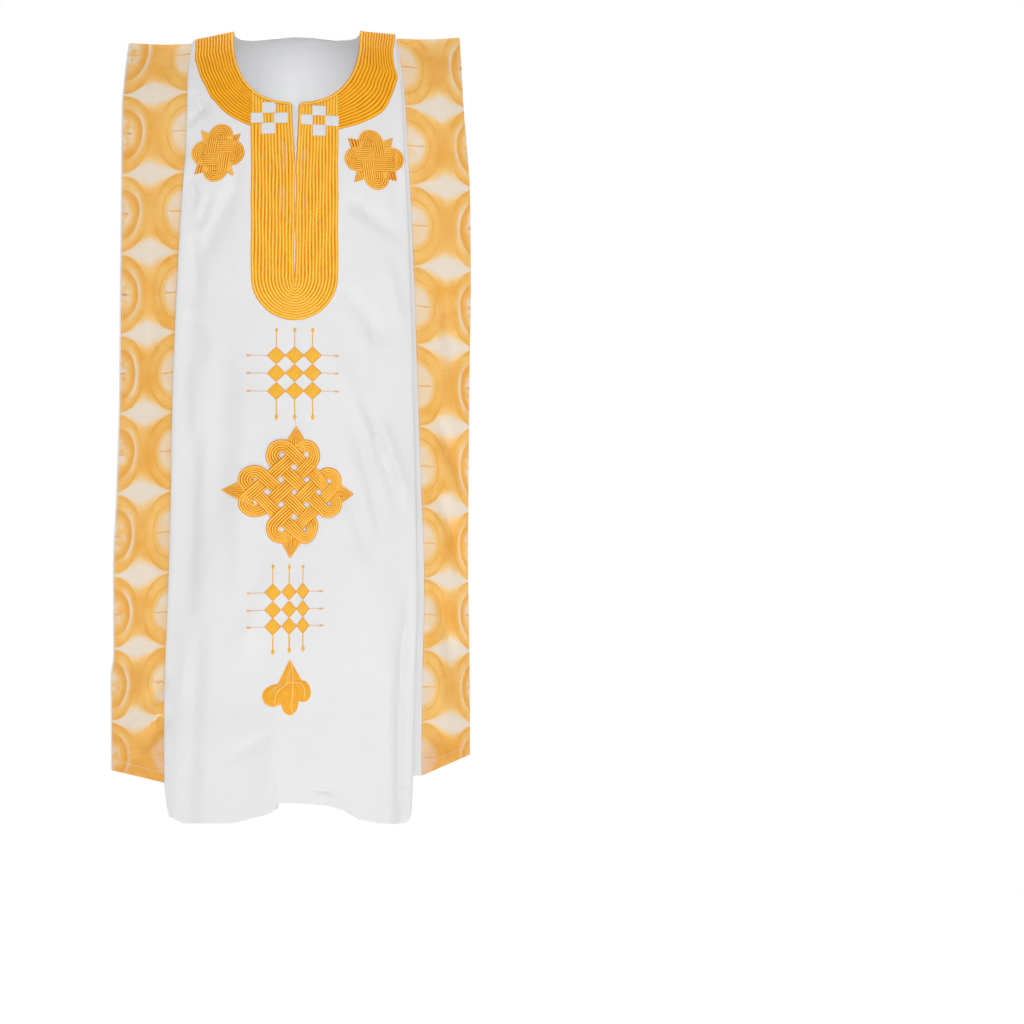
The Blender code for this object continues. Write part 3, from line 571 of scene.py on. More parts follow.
def neck_drop(x, depth):
    share = np.clip(np.abs(x) / NECK_HALF_WIDTH, 0, 1)
    return depth * (1 - share**CURVE_POWER) ** (1 / CURVE_POWER)


def slit_side(side, z):
    """x of one side of the slit at a height."""
    up = np.clip((z - SLIT_END) / (-NECK_FRONT_DEPTH - SLIT_END), 0, 1)
    return SLIT_AT + up * (SLIT_TOP[int(side > 0)] - SLIT_AT)


def in_front_neck(x, z):
    inside = (np.abs(x) < NECK_HALF_WIDTH) & (z > -neck_drop(x, NECK_FRONT_DEPTH))
    return inside | ((x > slit_side(-1, z)) & (x < slit_side(1, z)) & (z > SLIT_END))


def in_back_neck(x, z):
    return (np.abs(x) < NECK_HALF_WIDTH) & (shoulder_height(x) - z < neck_drop(x, NECK_BACK_DEPTH))


# ---- sheets of cloth ----

ROW_DROPS = np.concatenate(
    [
        mm([0, 0.6, 1.5, 3, 5, 7.5, 10.5, 14, 18, 22.5, 27.5, 33]),
        np.linspace(0.0385, 1.150, 190),
        np.linspace(1.1535, BODY_LENGTH, 12),
    ]
)
PLACES_AT = 0.05  # drop at which the columns are spaced
COLUMN_PITCH = 0.0050
LEAST_APART = 0.0015, 0.020  # of places: of the columns that are needed, and of the others from them
STEP_COLUMNS = mm([0.4, 1.0, 1.8, 2.8, 4.2, 6.4, 9.4])  # on both sides of a steep fold
SLIT_COLUMNS = mm([-6.4, -5.2, -4, -2.8, -1.4, 0, 1.1, 2.3, 3.5, 4.7])
STRIP_COLUMNS = 40
WING_COLUMNS = 24  # of each wing


def middle_places(half):
    """Places of the columns between the folds: close at the neckline, the slit and the steep folds."""
    marks = half.marks(np.array([PLACES_AT]))[:, 0]
    wanted = np.array([*np.arange(marks[0], marks[-1], COLUMN_PITCH), marks[-1]])
    needed = []
    depth, spacing = (NECK_FRONT_DEPTH, 0.0062) if half.toward < 0 else (NECK_BACK_DEPTH, 0.0048)
    for x, z in resampled(superellipse(NECK_HALF_WIDTH, depth, steps=400), spacing):
        for side in (-1, 1):
            drop = max(float(shoulder_height(np.array(side * x))) - z, 0)
            needed.append(float(half.place_at(np.array([side * x]), np.array([drop]))[0]))
    for number in range(1, len(marks) - 1):
        before, after = marks[number] - marks[number - 1], marks[number + 1] - marks[number]
        needed += [number, *(number - STEP_COLUMNS / before), *(number + STEP_COLUMNS / after)]
    if half.toward < 0:
        needed += list(half.place_at(SLIT_AT + SLIT_COLUMNS, np.full(len(SLIT_COLUMNS), 0.14)))
    needed = sorted(needed + [0.0, float(len(marks) - 1)])
    chosen = needed[:1]
    for place in needed[1:]:
        if place - chosen[-1] > LEAST_APART[0]:
            chosen.append(place)
    places = half.place_at(wanted, np.full(len(wanted), PLACES_AT))
    spaced = [place for place in places if min(abs(place - other) for other in chosen) > LEAST_APART[1]]
    return np.array(sorted(chosen + spaced))


def wing_columns(half, side, fold, strip, edge):
    """Columns of one wing from its fold to its edge, and how many of them come before its strip.

    The cloth turns under at the fold, comes back where it is tucked in, and runs out to the edge."""
    turn = straight(TURN, ROW_DROPS)
    tuck = np.interp(ROW_DROPS, [0, BODY_LENGTH], half.tuck)
    half_turn = np.linspace(0, math.pi, 6)
    layout = [(fold - turn * (1 - math.sin(angle)), 1 - math.cos(angle)) for angle in half_turn[1:]]
    layout.append((fold - 0.5 * tuck, 2.0))
    layout += [(fold - tuck + turn * (1 - math.sin(angle)), 3 - math.cos(angle)) for angle in half_turn]
    layout.append((0.5 * (fold - tuck + strip), 4.0))
    before = len(layout)
    profile = np.array([(0, 4.0), (0.36, 3.6), (0.70, 2.2), (1.0, 0.3)])
    for out in np.linspace(0, 1, 10):
        layout.append((strip + out * (edge - WHITE_EDGE - strip), float(eased(profile, out))))
    layout.append((edge, 0.0))
    hem_inside, hem_outside = half.wing_hems[side]
    fold_hem = float(straight(half.hem, side * fold[-1]))
    columns = []
    for number, (x, turns) in enumerate(layout):
        under = min((number + 1) / before, 1)
        out = np.clip((x[-1] - strip[-1]) / (edge[-1] - strip[-1]), 0, 1)
        low_end = fold_hem + under * (hem_inside - fold_hem) + out * (hem_outside - hem_inside)
        columns.append((side * x, turns * turn, ROW_DROPS, float(half.stretch_at(side * x[-1], low_end))))
    return columns, before


def cloth_grid(half):
    """Points of the whole half, their drops, the stretch of their columns, and the columns of each strip."""
    rows = len(ROW_DROPS)
    places = middle_places(half)
    hem_x = half.across(places, np.full(len(places), BODY_LENGTH))
    stretch = half.stretch_at(hem_x, straight(half.hem, hem_x))
    inside = in_front_neck if half.toward < 0 else in_back_neck

    def within(drop):
        x = half.across(places, drop)
        return inside(x, shoulder_height(x) - drop * stretch)

    low, high = np.zeros(len(places)), np.full(len(places), 0.25)
    starts_inside = within(low + 1e-6)
    for _ in range(30):
        middle = 0.5 * (low + high)
        in_opening = within(middle)
        low, high = np.where(in_opening, middle, low), np.where(in_opening, high, middle)
    start = np.where(starts_inside, high, 0)
    columns = []
    for n, place in enumerate(places):
        drop = start[n] + (BODY_LENGTH - start[n]) * (ROW_DROPS / BODY_LENGTH) if start[n] > 0 else ROW_DROPS
        columns.append((half.across(np.full(rows, place), drop), np.zeros(rows), drop, stretch[n]))

    wings = []
    for side, numbers in ((-1, (3, 2, 1)), (1, (4, 5, 6))):
        wings.append(wing_columns(half, side, *(half.line(number, ROW_DROPS) * side for number in numbers)))
    (right, right_before), (left, left_before) = wings
    every = right[::-1] + columns + left
    stack = [np.array([np.broadcast_to(column[n], rows) for column in every]) for n in range(4)]
    first_left = len(right) + len(columns)
    spans = {-1: (1, len(right) - 1 - right_before), 1: (first_left + left_before, len(every) - 1)}
    return half.placed(*stack), stack[2], stack[3], spans


def panel(name, half, points, drops, stretch, material):
    """One half of the body, with its turned-up hem."""
    normal = normals_of(points, half.toward)
    from_hem = (BODY_LENGTH - drops) * stretch
    steps = np.linalg.norm(np.diff(points, axis=0), axis=2)
    far = np.concatenate([np.zeros((1, steps.shape[1])), np.cumsum(steps, axis=0)])
    from_seam = from_hem - HEM_DEPTH
    pucker = 0.00028 * np.sin(far * 760 + 3 * np.sin(far * 41)) * np.exp(-((from_seam / 0.0045) ** 2))
    height = pucker - 0.00035 * np.exp(-((from_seam / 0.0018) ** 2))
    turned = HEM_EXTRA * (1 - smooth(from_hem, HEM_DEPTH - 0.001, HEM_DEPTH + 0.002))
    outer = points + (0.5 * WALL + height)[..., None] * normal
    inner = points - (0.5 * WALL + turned - height)[..., None] * normal
    uvs = np.stack([far, -drops * stretch], axis=-1)
    return shell(name, outer, inner, uvs, material, half.toward)


# Phase of the dyed pattern down each strip: metres from the shoulder to its first pale diamond, then the
# length after which the repeats are pulled closer together and by how much
DYE_PHASES = {
    (-1, -1): (0.0777, 0.86, 0.115),
    (-1, 1): (0.1070, 0.72, 0.114),
    (1, -1): (0.0640, 0.80, 0.100),
    (1, 1): (0.0940, 0.80, 0.100),
}
DYE_PITCH = 0.1216
STRIP_WIDTH = 0.1


def strip(name, half, side, points, drops, stretch, span, material):
    """A dyed strip on the wing's outer part, and the lines of its stitches on both sides and at its hem."""
    low, high = span
    fine = np.linspace(low, high, STRIP_COLUMNS)
    share = np.linspace(0, 1, STRIP_COLUMNS)
    share = (1 - share if side < 0 else share)[:, None]

    def refined(grid):
        table = np.moveaxis(grid[low : high + 1], 0, -1)
        found = hermite(np.arange(low, high + 1), table, np.gradient(table, axis=-1), fine)
        return np.moveaxis(found, -1, 0)

    spots, normal = refined(points), refined(normals_of(points, half.toward))
    normal = normal / np.linalg.norm(normal, axis=2, keepdims=True)
    length = np.stack([np.interp(fine, np.arange(len(points)), row) for row in (drops * stretch).T], axis=1)
    foot = 0.5 * WALL + 0.0003
    edge = foot + STRIP_WALL * (1 - 0.45 * np.exp(-((share * STRIP_WIDTH / 0.0008) ** 2)))
    crinkle = 0.00016 * np.sin(length * 980 + 9 * share) * np.sin(share * 37)
    outer = spots + (edge + crinkle)[..., None] * normal
    inner = spots + foot * normal
    phase, pulled_from, pull = DYE_PHASES[(half.toward, side)]
    v = length + pull * np.maximum(length - pulled_from, 0) - phase
    uvs = np.stack([np.broadcast_to(share * STRIP_WIDTH, v.shape), v], axis=-1)
    last = STRIP_COLUMNS - 2
    lines = [(outer[at] - 0.0001 * normal[at], normal[at]) for at in (1, last, (slice(2, last), -6))]
    return shell(name, outer, inner, uvs, material, half.toward), lines


# ---- materials ----


def laid(tree, kind, inputs, output=0, **settings):
    """Adds a node with these inputs and settings, and gives one of its outputs."""
    node = tree.nodes.new("ShaderNode" + kind)
    for name, value in settings.items():
        setattr(node, name, value)
    fill(node, inputs)
    return Value(node.outputs[output])


def fill(node, inputs):
    for place, value in inputs.items():
        socket = node.inputs[place]
        if isinstance(value, Value):
            node.id_data.links.new(value.socket, socket)
        else:
            socket.default_value = (*value, 1) if socket.type == "RGBA" else value


class Value:
    """A node's output. Signs of arithmetic after it lay maths nodes."""

    def __init__(self, socket):
        self.socket, self.tree = socket, socket.id_data

    def maths(self, operation, *others):
        return laid(self.tree, "Math", dict(enumerate((self, *others))), operation=operation)

    def __add__(self, other):
        return self.maths("ADD", other)

    def __sub__(self, other):
        return self.maths("SUBTRACT", other)

    def __rsub__(self, other):
        return laid(self.tree, "Math", {0: other, 1: self}, operation="SUBTRACT")

    def __mul__(self, other):
        return self.maths("MULTIPLY", other)

    def __truediv__(self, other):
        return self.maths("DIVIDE", other)

    def __abs__(self):
        return self.maths("ABSOLUTE")

    def step(self, start, end):
        """0 below start and 1 above end, smoothly between."""
        inputs = {"Value": self, "From Min": start, "From Max": end}
        return laid(self.tree, "MapRange", inputs, interpolation_type="SMOOTHSTEP")

    def below(self, start, end):
        return 1.0 - self.step(start, end)

    def noise(self, scale, detail=2.0, roughness=0.5):
        inputs = {"Vector": self, "Scale": scale, "Detail": detail, "Roughness": roughness}
        return laid(self.tree, "TexNoise", inputs)

    def vector(self, operation, *other):
        return laid(self.tree, "VectorMath", {0: self, 1: other}, operation=operation)

    def part(self, axis):
        return laid(self.tree, "SeparateXYZ", {0: self}, "XYZ"[axis])


def mix(share, first, second):
    """The second colour where share is 1."""
    return laid(share.tree, "Mix", {0: share, 6: first, 7: second}, 2, data_type="RGBA")


def weave(u, v, pitch):
    """Height of a plain weave: threads across and down pass over each other in turn."""
    return abs((u * (math.pi / pitch)).maths("SINE") * (v * (math.pi / pitch)).maths("SINE"))


def bumps(*layers):
    """A normal that has each layer's height, at its strength and distance."""
    before = {}
    for height, strength, distance in layers:
        inputs = {"Height": height, "Strength": strength, "Distance": distance, **before}
        before = {"Normal": laid(height.tree, "Bump", inputs)}
    return before["Normal"]


def new_material(name, colour, roughness, specular):
    """A material; its shader; and as values the place on the object, the cloth's (u, v), u and v."""
    material = bpy.data.materials.new(name)
    material.use_nodes = True
    tree = material.node_tree
    shader = tree.nodes["Principled BSDF"]
    fill(shader, {"Base Color": colour, "Roughness": roughness, "Specular IOR Level": specular})
    uv = laid(tree, "UVMap", {}, uv_map="cloth")
    return material, shader, laid(tree, "TexCoord", {}, "Object"), uv, uv.part(0), uv.part(1)


def white_cotton():
    material, shader, place, uv, u, v = new_material("white_cotton", (0.80, 0.80, 0.81), 0.82, 0.25)
    broad = place.noise(9.0, 3.0)
    slub = uv.vector("MULTIPLY", 260, 2600, 1).noise(1.0, 1.0)
    tone = mix(broad.step(0.3, 0.7), (0.795, 0.795, 0.806), (0.815, 0.815, 0.824))
    tone = mix(slub.step(0.45, 0.8) * 0.22, tone, (0.74, 0.74, 0.755))
    creased = uv.vector("MULTIPLY", 34, 26, 1).noise(1.0, 4.0, 0.55)
    rippled = uv.vector("MULTIPLY", 120, 90, 1).noise(1.0, 2.0)
    normal = bumps((creased, 0.45, 0.0026), (rippled, 0.30, 0.0010), (weave(u, v, 0.00062), 0.35, 0.00016))
    fill(shader, {"Base Color": tone, "Normal": normal, "Roughness": broad * 0.10 + 0.76})
    return material


def gold_cord(name, light, bright, deep):
    """Couched thread: it winds across the cord, so light catches each turn; v runs round the cord's top. Its
    colour also has a painted highlight along the crest and painted shade down both sides.
    """
    material, shader, place, uv, u, v = new_material(name, bright, 0.40, 0.12)
    wave = ((u + v * 0.0016) * (2 * math.pi / 0.0011)).maths("SINE") * 0.5 + 0.5
    streak = uv.vector("MULTIPLY", 700, 9, 1).noise(1.0, 2.0)
    side = abs(v - 0.46)
    # Painted highlight along the crest of each cord, broken up by the thread's turns and streaks.
    painted_crest_highlight = side.below(0.02, 0.20)
    tone = mix(painted_crest_highlight * (wave * 0.3 + streak).step(0.2, 0.8), bright, light)
    # Painted shade: the cord darkens down both sides, away from its crest.
    tone = mix(side.step(0.20, 0.42) * 0.95, tone, deep)
    tone = mix(place.noise(55.0, 3.0).step(0.50, 0.80) * 0.16, tone, deep)
    fill(shader, {"Base Color": tone, "Normal": bumps((wave, 0.55, 0.00022), (streak, 0.4, 0.0002))})
    return material


def satin(name, bright, deep, pitch, roughness=0.4):
    """Flat satin stitch: fine parallel threads."""
    material, shader, place, *_ = new_material(name, bright, roughness, 0.25)
    thread = place.vector("MULTIPLY", 1.0 / pitch, 60, 0.06 / pitch).noise(1.0, 2.0)
    tone = mix(thread.step(0.35, 0.68), deep, bright)
    tone = mix(place.noise(90.0, 2.0).step(0.45, 0.75) * 0.4, tone, deep)
    fill(shader, {"Base Color": tone, "Normal": bumps((thread, 0.6, 0.0003)), "Sheen Weight": 0.05})
    return material


def tie_dye(name, outer_width):
    """Ivory cloth dyed amber round two rows of tied discs, one along each edge, with painted shade towards
    the bottom; v runs along the strip.
    """
    material, shader, place, uv, u, v = new_material(name, (0.9, 0.55, 0.2), 0.8, 0.25)
    orange, deep, light = (0.885, 0.450, 0.080), (0.800, 0.330, 0.035), (0.930, 0.570, 0.180)
    cream, pale = (0.83, 0.735, 0.620), (0.84, 0.715, 0.570)

    def drift(scale, reach, shift):
        """A slow wander of the pattern, as cloth that was tied by hand."""
        return (place.vector("ADD", shift, 0.3 * shift, 0).noise(scale, 2.0) - 0.5) * reach

    u = u + drift(9.0, 0.010, 0.0) + drift(30.0, 0.003, 1.0)
    v = v + drift(9.0, 0.013, 3.0) + drift(30.0, 0.003, 4.0)
    jitter = place.noise(26.0, 3.0) - 0.5
    fine_jitter = place.noise(110.0, 2.0) - 0.5
    turns = v / DYE_PITCH
    from_diamond = abs(turns - turns.maths("ROUND")) * DYE_PITCH
    from_disc = 0.5 * DYE_PITCH - from_diamond
    outer_u = STRIP_WIDTH - u

    def turn(across, wide, tall):
        """How far a point lies from a disc's centre: 1 on an ellipse of these half widths."""
        a, b = across / wide, from_disc / tall
        return (a * a + b * b).maths("SQRT") + (jitter * 0.05 + fine_jitter * 0.015)

    def arc(distance, inside, outside, strength):
        """A line round a disc: it fades inwards and outwards over these shares of the radius."""
        return distance.step(1 - inside, 0.995) * distance.below(0.995, 1 + outside) * strength

    tone = mix(place.noise(30.0, 4.0, 0.6).step(0.30, 0.72), orange, light)
    tone = mix(place.noise(13.0, 2.0).step(0.40, 0.7) * 0.40, tone, light)
    uneven = place.noise(21.0, 2.0).step(0.30, 0.66)
    broken = place.noise(34.0, 2.0).step(0.30, 0.60)
    middle = abs(u - 0.55 * STRIP_WIDTH)
    core = middle.below(0.004, 0.026) * from_disc.below(0.010, 0.044)
    tone = mix(core * (uneven * 0.30 + 0.12), tone, deep)

    # the pale diamonds between the discs, and a line round each disc
    inner_ring, outer_ring = turn(u, 0.0490, 0.0588), turn(outer_u, outer_width + 0.0140, 0.0580)
    clear = inner_ring.step(0.985, 1.03) * outer_ring.step(0.985, 1.04)
    reach = from_diamond + (jitter * 0.012 + fine_jitter * 0.004) + middle * 0.42
    tone = mix(reach.below(0.018, 0.036) * 0.50 * clear, tone, (0.94, 0.70, 0.36))
    tone = mix(reach.below(0.0125, 0.0265) * clear * 0.97, tone, cream)
    edge = (uneven * 0.40 + 0.12) * (from_disc.step(0.010, 0.040) * 0.75 + 0.25)
    tone = mix(arc(inner_ring, 0.15, 0.025, 1.0) * edge, tone, deep)
    tone = mix(arc(outer_ring, 0.18, 0.030, 1.0) * edge, tone, deep)

    # the inner discs, each with a pleat
    inner = turn(u, 0.0335, 0.0400)
    tone = mix(inner.below(0.60, 0.93) * (uneven * 0.30 + 0.68), tone, cream)
    tone = mix(arc(inner, 0.07, 0.05, 0.75) * (broken * 0.8 + 0.2), tone, deep)
    tone = mix(arc(inner, 0.00, 0.22, 0.40) * broken, tone, light)
    bent = from_disc + fine_jitter * 0.0018
    tone = mix(bent.below(0.0004, 0.0016) * u.below(0.020, 0.031) * 0.85, tone, (0.84, 0.43, 0.11))

    # the outer discs, mottled and with a pale crescent round each
    outer = turn(outer_u, outer_width, 0.0390)
    mottle = place.noise(75.0, 3.0, 0.6).step(0.40, 0.60)
    tone = mix(outer.step(0.50, 0.96) * outer.below(0.97, 1.01) * 0.55, tone, deep)
    tone = mix(outer.below(0.30, 0.84) * (mottle * 0.88 + 0.12) * 0.90, tone, pale)
    crescent = outer.step(0.975, 1.03) * outer.below(1.04, 1.30) * (outer_u / outer_width).step(0.20, 1.0)
    tone = mix(crescent * (uneven * 0.45 + 0.40), tone, pale)
    tone = mix(bent.below(0.0010, 0.0034) * outer_u.below(0.006, 0.016) * mottle, tone, deep)

    crinkle = uv.vector("MULTIPLY", 130, 420, 1).noise(1.0, 3.0)
    tone = mix(crinkle.step(0.60, 0.80) * 0.12, tone, deep)
    # Painted shade of the rolled hem and its folds: each strip darkens towards its bottom.
    low = (place.part(2) * -1.0 + jitter * 0.06).step(1.040, 1.105)
    tone = mix(low * (uneven * 0.35 + 0.20), tone, deep)
    creased = uv.vector("MULTIPLY", 55, 110, 1).noise(1.0, 4.0, 0.6)
    normal = bumps((creased, 0.5, 0.0022), (crinkle, 0.35, 0.0006), (weave(u, v, 0.0006), 0.3, 0.00015))
    fill(shader, {"Base Color": tone, "Normal": normal})
    return material


# ---- neck embroidery ----

CORD_HEIGHT = 0.0016
YOKE_FRONT_ROWS, YOKE_BACK_ROWS, PLACKET_ROWS = 12, 13, 13
# Outer edge of each front half of the yoke, from the shoulder to the placket: x out from the middle, z
YOKE_RIGHT = mm([
    (153.5, 0), (154.5, -22), (154.5, -38), (150.8, -53), (144.8, -68), (137.5, -83), (129.4, -98),
    (117.5, -112), (101, -126), (81, -137), (68.6, -142),
])
YOKE_LEFT = mm([
    (149.5, 0), (148.3, -18), (145.9, -36), (150.2, -52), (154.2, -68), (150, -82), (144, -97), (140, -108),
    (132, -119), (117, -129), (100, -137), (74, -144.5), (64, -147),
])
YOKE_BACK_DEPTH = 0.066
YOKE_BACK_POWER = 1.6
YOKE_BACK_REACH = 0.15  # from the middle, where its cords are thickest
YOKE_BACK_CORD = 0.0037  # width of a cord
PLACKET_RIGHT = -0.0684
PLACKET_LEFT = 0.0638
PLACKET_TOP = -0.080  # above the neckline's lowest point, where its cords are cut off
PLACKET_ROUND = -0.370  # where its sides start to close
PLACKET_FOOT = 0.066  # from there down to its point
PLACKET_FOOT_PITCH = 0.0040  # of the cords at the point
# How far down two of its rows beside the slit grow thin, and how far down they are back to their width
LOOSE_FROM, LOOSE_TO = (0.150, 0.180), (0.24, 0.30)
# White squares that break the cords of the placket, three round each gold one: right, left, top, bottom
WHITE_SQUARES = mm([
    (-51.1, -32, -105.6, -121.4), (-68.8, -51.1, -121.6, -136.6), (-31.8, -13, -121.6, -136.8),
    (-51.1, -32, -136.8, -153.3), (24.9, 44, -111.1, -125.7), (6.3, 24.9, -124.4, -139.3),
    (44.6, 64.3, -126.4, -141.5), (25.5, 44.6, -140, -156.5),
])


def onto_shoulder(path):
    """Starts a path of the front at the shoulder line."""
    first = path[:1].copy()
    first[0, 1] = shoulder_height(path[0, 0])
    return np.concatenate([first, path[path[:, 1] < first[0, 1] - 0.002]])


def over_shoulder(path):
    """Adds points near the start of a path at the shoulder line, where the cloth bends most."""
    drop = np.maximum(shoulder_height(path[:, 0]) - path[:, 1], 0)
    near = int(np.argmax(drop > min(0.03, 0.6 * drop.max()))) + 1
    root = np.maximum.accumulate(np.sqrt(drop[:near])) + 1e-7 * np.arange(near)
    at = np.linspace(root[0], root[-1], int(root[-1] / 0.006) + 2)
    dense = read_at(path[:near], at, root)
    dense[:, 1] = shoulder_height(dense[:, 0]) - at**2
    return np.concatenate([dense, path[near:]])


def over_shoulders(path):
    """The same at both ends of a path of the back."""
    return over_shoulder(over_shoulder(resampled(path, 0.004))[::-1])[::-1]


def yoke_front(side):
    threads = Threads()
    stop = (PLACKET_LEFT if side > 0 else -PLACKET_RIGHT) - 0.0016
    inner = resampled_to(superellipse(NECK_HALF_WIDTH + NECK_EDGE, NECK_FRONT_DEPTH + NECK_EDGE, 1, stop), 90)
    outer = (YOKE_LEFT if side > 0 else YOKE_RIGHT).copy()
    outer[-1, 0] = stop
    outer = rounded(resampled_to(outer, 90), 3)
    along = np.gradient(0.5 * (inner + outer), axis=0)
    along /= np.linalg.norm(along, axis=1, keepdims=True)
    apart = outer - inner
    pitch = np.abs(along[:, 0] * apart[:, 1] - along[:, 1] * apart[:, 0]) / YOKE_FRONT_ROWS
    for n in range(YOKE_FRONT_ROWS):
        share = (n + 0.5) / YOKE_FRONT_ROWS
        path = inner + share * apart
        wave = 0.0005 * np.sin(path[:, 1] * 230 + 4 * share)
        path = np.column_stack([side * (path[:, 0] + wave), path[:, 1], 0 * wave, 1.13 * pitch / pitch.max()])
        threads.cord(over_shoulder(resampled(onto_shoulder(path), 0.004)), pitch.max(), CORD_HEIGHT, 0)
    return threads


def yoke_back():
    threads = Threads(BACK_HALF)
    inner_width, inner_depth = NECK_HALF_WIDTH + NECK_EDGE, NECK_BACK_DEPTH + NECK_EDGE
    for n in range(YOKE_BACK_ROWS):
        share = (n + 0.5) / YOKE_BACK_ROWS
        left, right = (inner_width + share * (outer[0, 0] - inner_width) for outer in (YOKE_LEFT, YOKE_RIGHT))
        depth = inner_depth + share * (YOKE_BACK_DEPTH - inner_depth)
        power = CURVE_POWER + share * (YOKE_BACK_POWER - CURVE_POWER)
        path = resampled(back_curve(left, right, depth, power, 161), 0.003)
        near = 1 - np.clip(np.abs(path[:, 0]) / YOKE_BACK_REACH, 0, 1)
        path = np.column_stack([path, 0 * near, 1.06 + 0.20 * near])
        threads.cord(over_shoulders(path), YOKE_BACK_CORD, CORD_HEIGHT, 0)
    width = NECK_HALF_WIDTH + 0.5 * NECK_EDGE
    edge = back_curve(width, width, NECK_BACK_DEPTH + 0.5 * NECK_EDGE, CURVE_POWER, 181)
    threads.cord(over_shoulders(edge), NECK_EDGE, CORD_HEIGHT * 1.1, 0)
    return threads


def outside_squares(path):
    """The stretches of a path that lie outside the white squares."""
    path = resampled(path, 0.0008)
    x, z = path.T
    inside = np.zeros(len(path), bool)
    for left, right, top, low in WHITE_SQUARES:
        inside |= (x > left) & (x < right) & (z < top) & (z > low)
    cuts = np.flatnonzero(np.diff(inside)) + 1
    parts = zip(np.split(path, cuts), inside[[0, *cuts]])
    return [part for part, hidden in parts if len(part) > 1 and not hidden]


def placket():
    threads = Threads()
    radius, middle = 0.5 * (PLACKET_LEFT - PLACKET_RIGHT), 0.5 * (PLACKET_LEFT + PLACKET_RIGHT)
    loose = (9, -1), (10, 1)  # rows that are thinner beside the slit
    for n in range(PLACKET_ROWS):
        share = 1 - (n + 0.5) / PLACKET_ROWS
        innermost = n == PLACKET_ROWS - 1
        tall = PLACKET_FOOT - (n + 0.5) * PLACKET_FOOT_PITCH
        for side in (-1, 1):
            z = np.linspace(PLACKET_TOP, PLACKET_ROUND, 120)
            closing = np.interp(z, [PLACKET_ROUND, SLIT_END], [middle, SLIT_AT])
            near = np.where(z > SLIT_END, slit_side(side, z), closing)
            x = near + (middle + side * radius - near) * (share + 0.012 * innermost)
            x = x + side * 0.0004 * np.sin(z * 70 + n)
            below = -neck_drop(x, NECK_FRONT_DEPTH) - NECK_EDGE + 0.0008
            if innermost:
                below = -NECK_FRONT_DEPTH - 0.5 * NECK_EDGE
            turns = np.linspace(0, 0.5 * math.pi, 24)[1:]
            end_x = middle + side * radius * share * np.cos(turns)
            end = np.stack([end_x, PLACKET_ROUND - tall * np.sin(turns)], axis=1)
            for part in outside_squares(np.concatenate([np.stack([x, z], axis=1)[z < below], end])):
                thin = smooth(-part[:, 1], *LOOSE_FROM) * (1 - smooth(-part[:, 1], *LOOSE_TO))
                width = 1 - 0.22 * ((n, side) in loose) * thin
                part = np.column_stack([part, 0 * width, width])
                threads.cord(part, radius / PLACKET_ROWS * 1.11, CORD_HEIGHT, 0.005)
    half_edge = 0.5 * NECK_EDGE
    for side in (-1, 1):
        edge = superellipse(NECK_HALF_WIDTH + half_edge, NECK_FRONT_DEPTH + half_edge, side, 0.0105)
        z = np.linspace(-NECK_FRONT_DEPTH - 0.0048, SLIT_END - 0.004, 40)
        beside = (half_edge + 0.0003) * np.interp(z, [SLIT_END, SLIT_END + 0.03], [0.62, 1])
        slit = np.stack([slit_side(side, z) + side * beside, z], axis=1)
        path = np.concatenate([onto_shoulder(edge), slit])
        taper = np.interp(path[:, 1], [SLIT_END - 0.004, SLIT_END + 0.03], [0.62, 1.0])
        path = np.column_stack([path, np.full(len(path), 0.0004), taper])
        threads.cord(path, NECK_EDGE, CORD_HEIGHT * 1.05)
    return threads


def net(one, two, three, four, columns, rows):
    """A grid of points: its columns run from the line one-two to the line three-four."""
    starts, ends = between(one, two, columns), between(three, four, columns)
    return np.array([between(start, end, rows) for start, end in zip(starts, ends)])


def squares():
    threads = Threads()
    for left, right, top, low in WHITE_SQUARES:
        skew = 0.0003 if left < 0 else -0.0004
        corners = (left, low - skew), (right, low + skew), (left, top - skew), (right, top + skew)
        threads.patch(net(*map(np.array, corners), 5, 5), CORD_HEIGHT * 1.2, dome=0.05, rim=0.9)
    return threads


# ---- chest motifs and knot ----

# Interlaced chest motifs: 1 where the upright loop tops the level one at its upper left; centre; half length,
# half width, lean and shift of the upright loop and of the level one; the tips of the corner pieces
CHEST_MOTIFS = {
    "chest_motif_right": (-1, (-118.6, -182.4), (44, 19, 6.6, 0), (40.5, 19, 1.2, 0), [
        (-26.2, 34.6), (34.6, 29.2), (-36.2, -32.6), (23, -34.8),
    ]),
    "chest_motif_left": (1, (118.6, -193), (45.8, 18.9, -7.2, -0.8), (45, 18.4, -1.2, 1), [
        (-40.2, 33.2), (28.4, 33.8), (-30.6, -34.1), (36, -32.6),
    ]),
}
MOTIF_CORDS = 6
MOTIF_CORD_HEIGHT = 0.0014
MOTIF_LIFT = 0.0015  # of a loop where it tops the other
TIP_CORDS = 5
TIP_CORD = 0.0030, 0.0012  # width and height


def stadium(half_length, half_width, steps):
    """A closed loop with straight sides, long in its first direction."""
    turns = np.linspace(-0.5 * math.pi, 0.5 * math.pi, steps)
    end = half_width * np.stack([np.cos(turns), np.sin(turns)], axis=1) + [half_length - half_width, 0]
    return np.concatenate([end, -end])


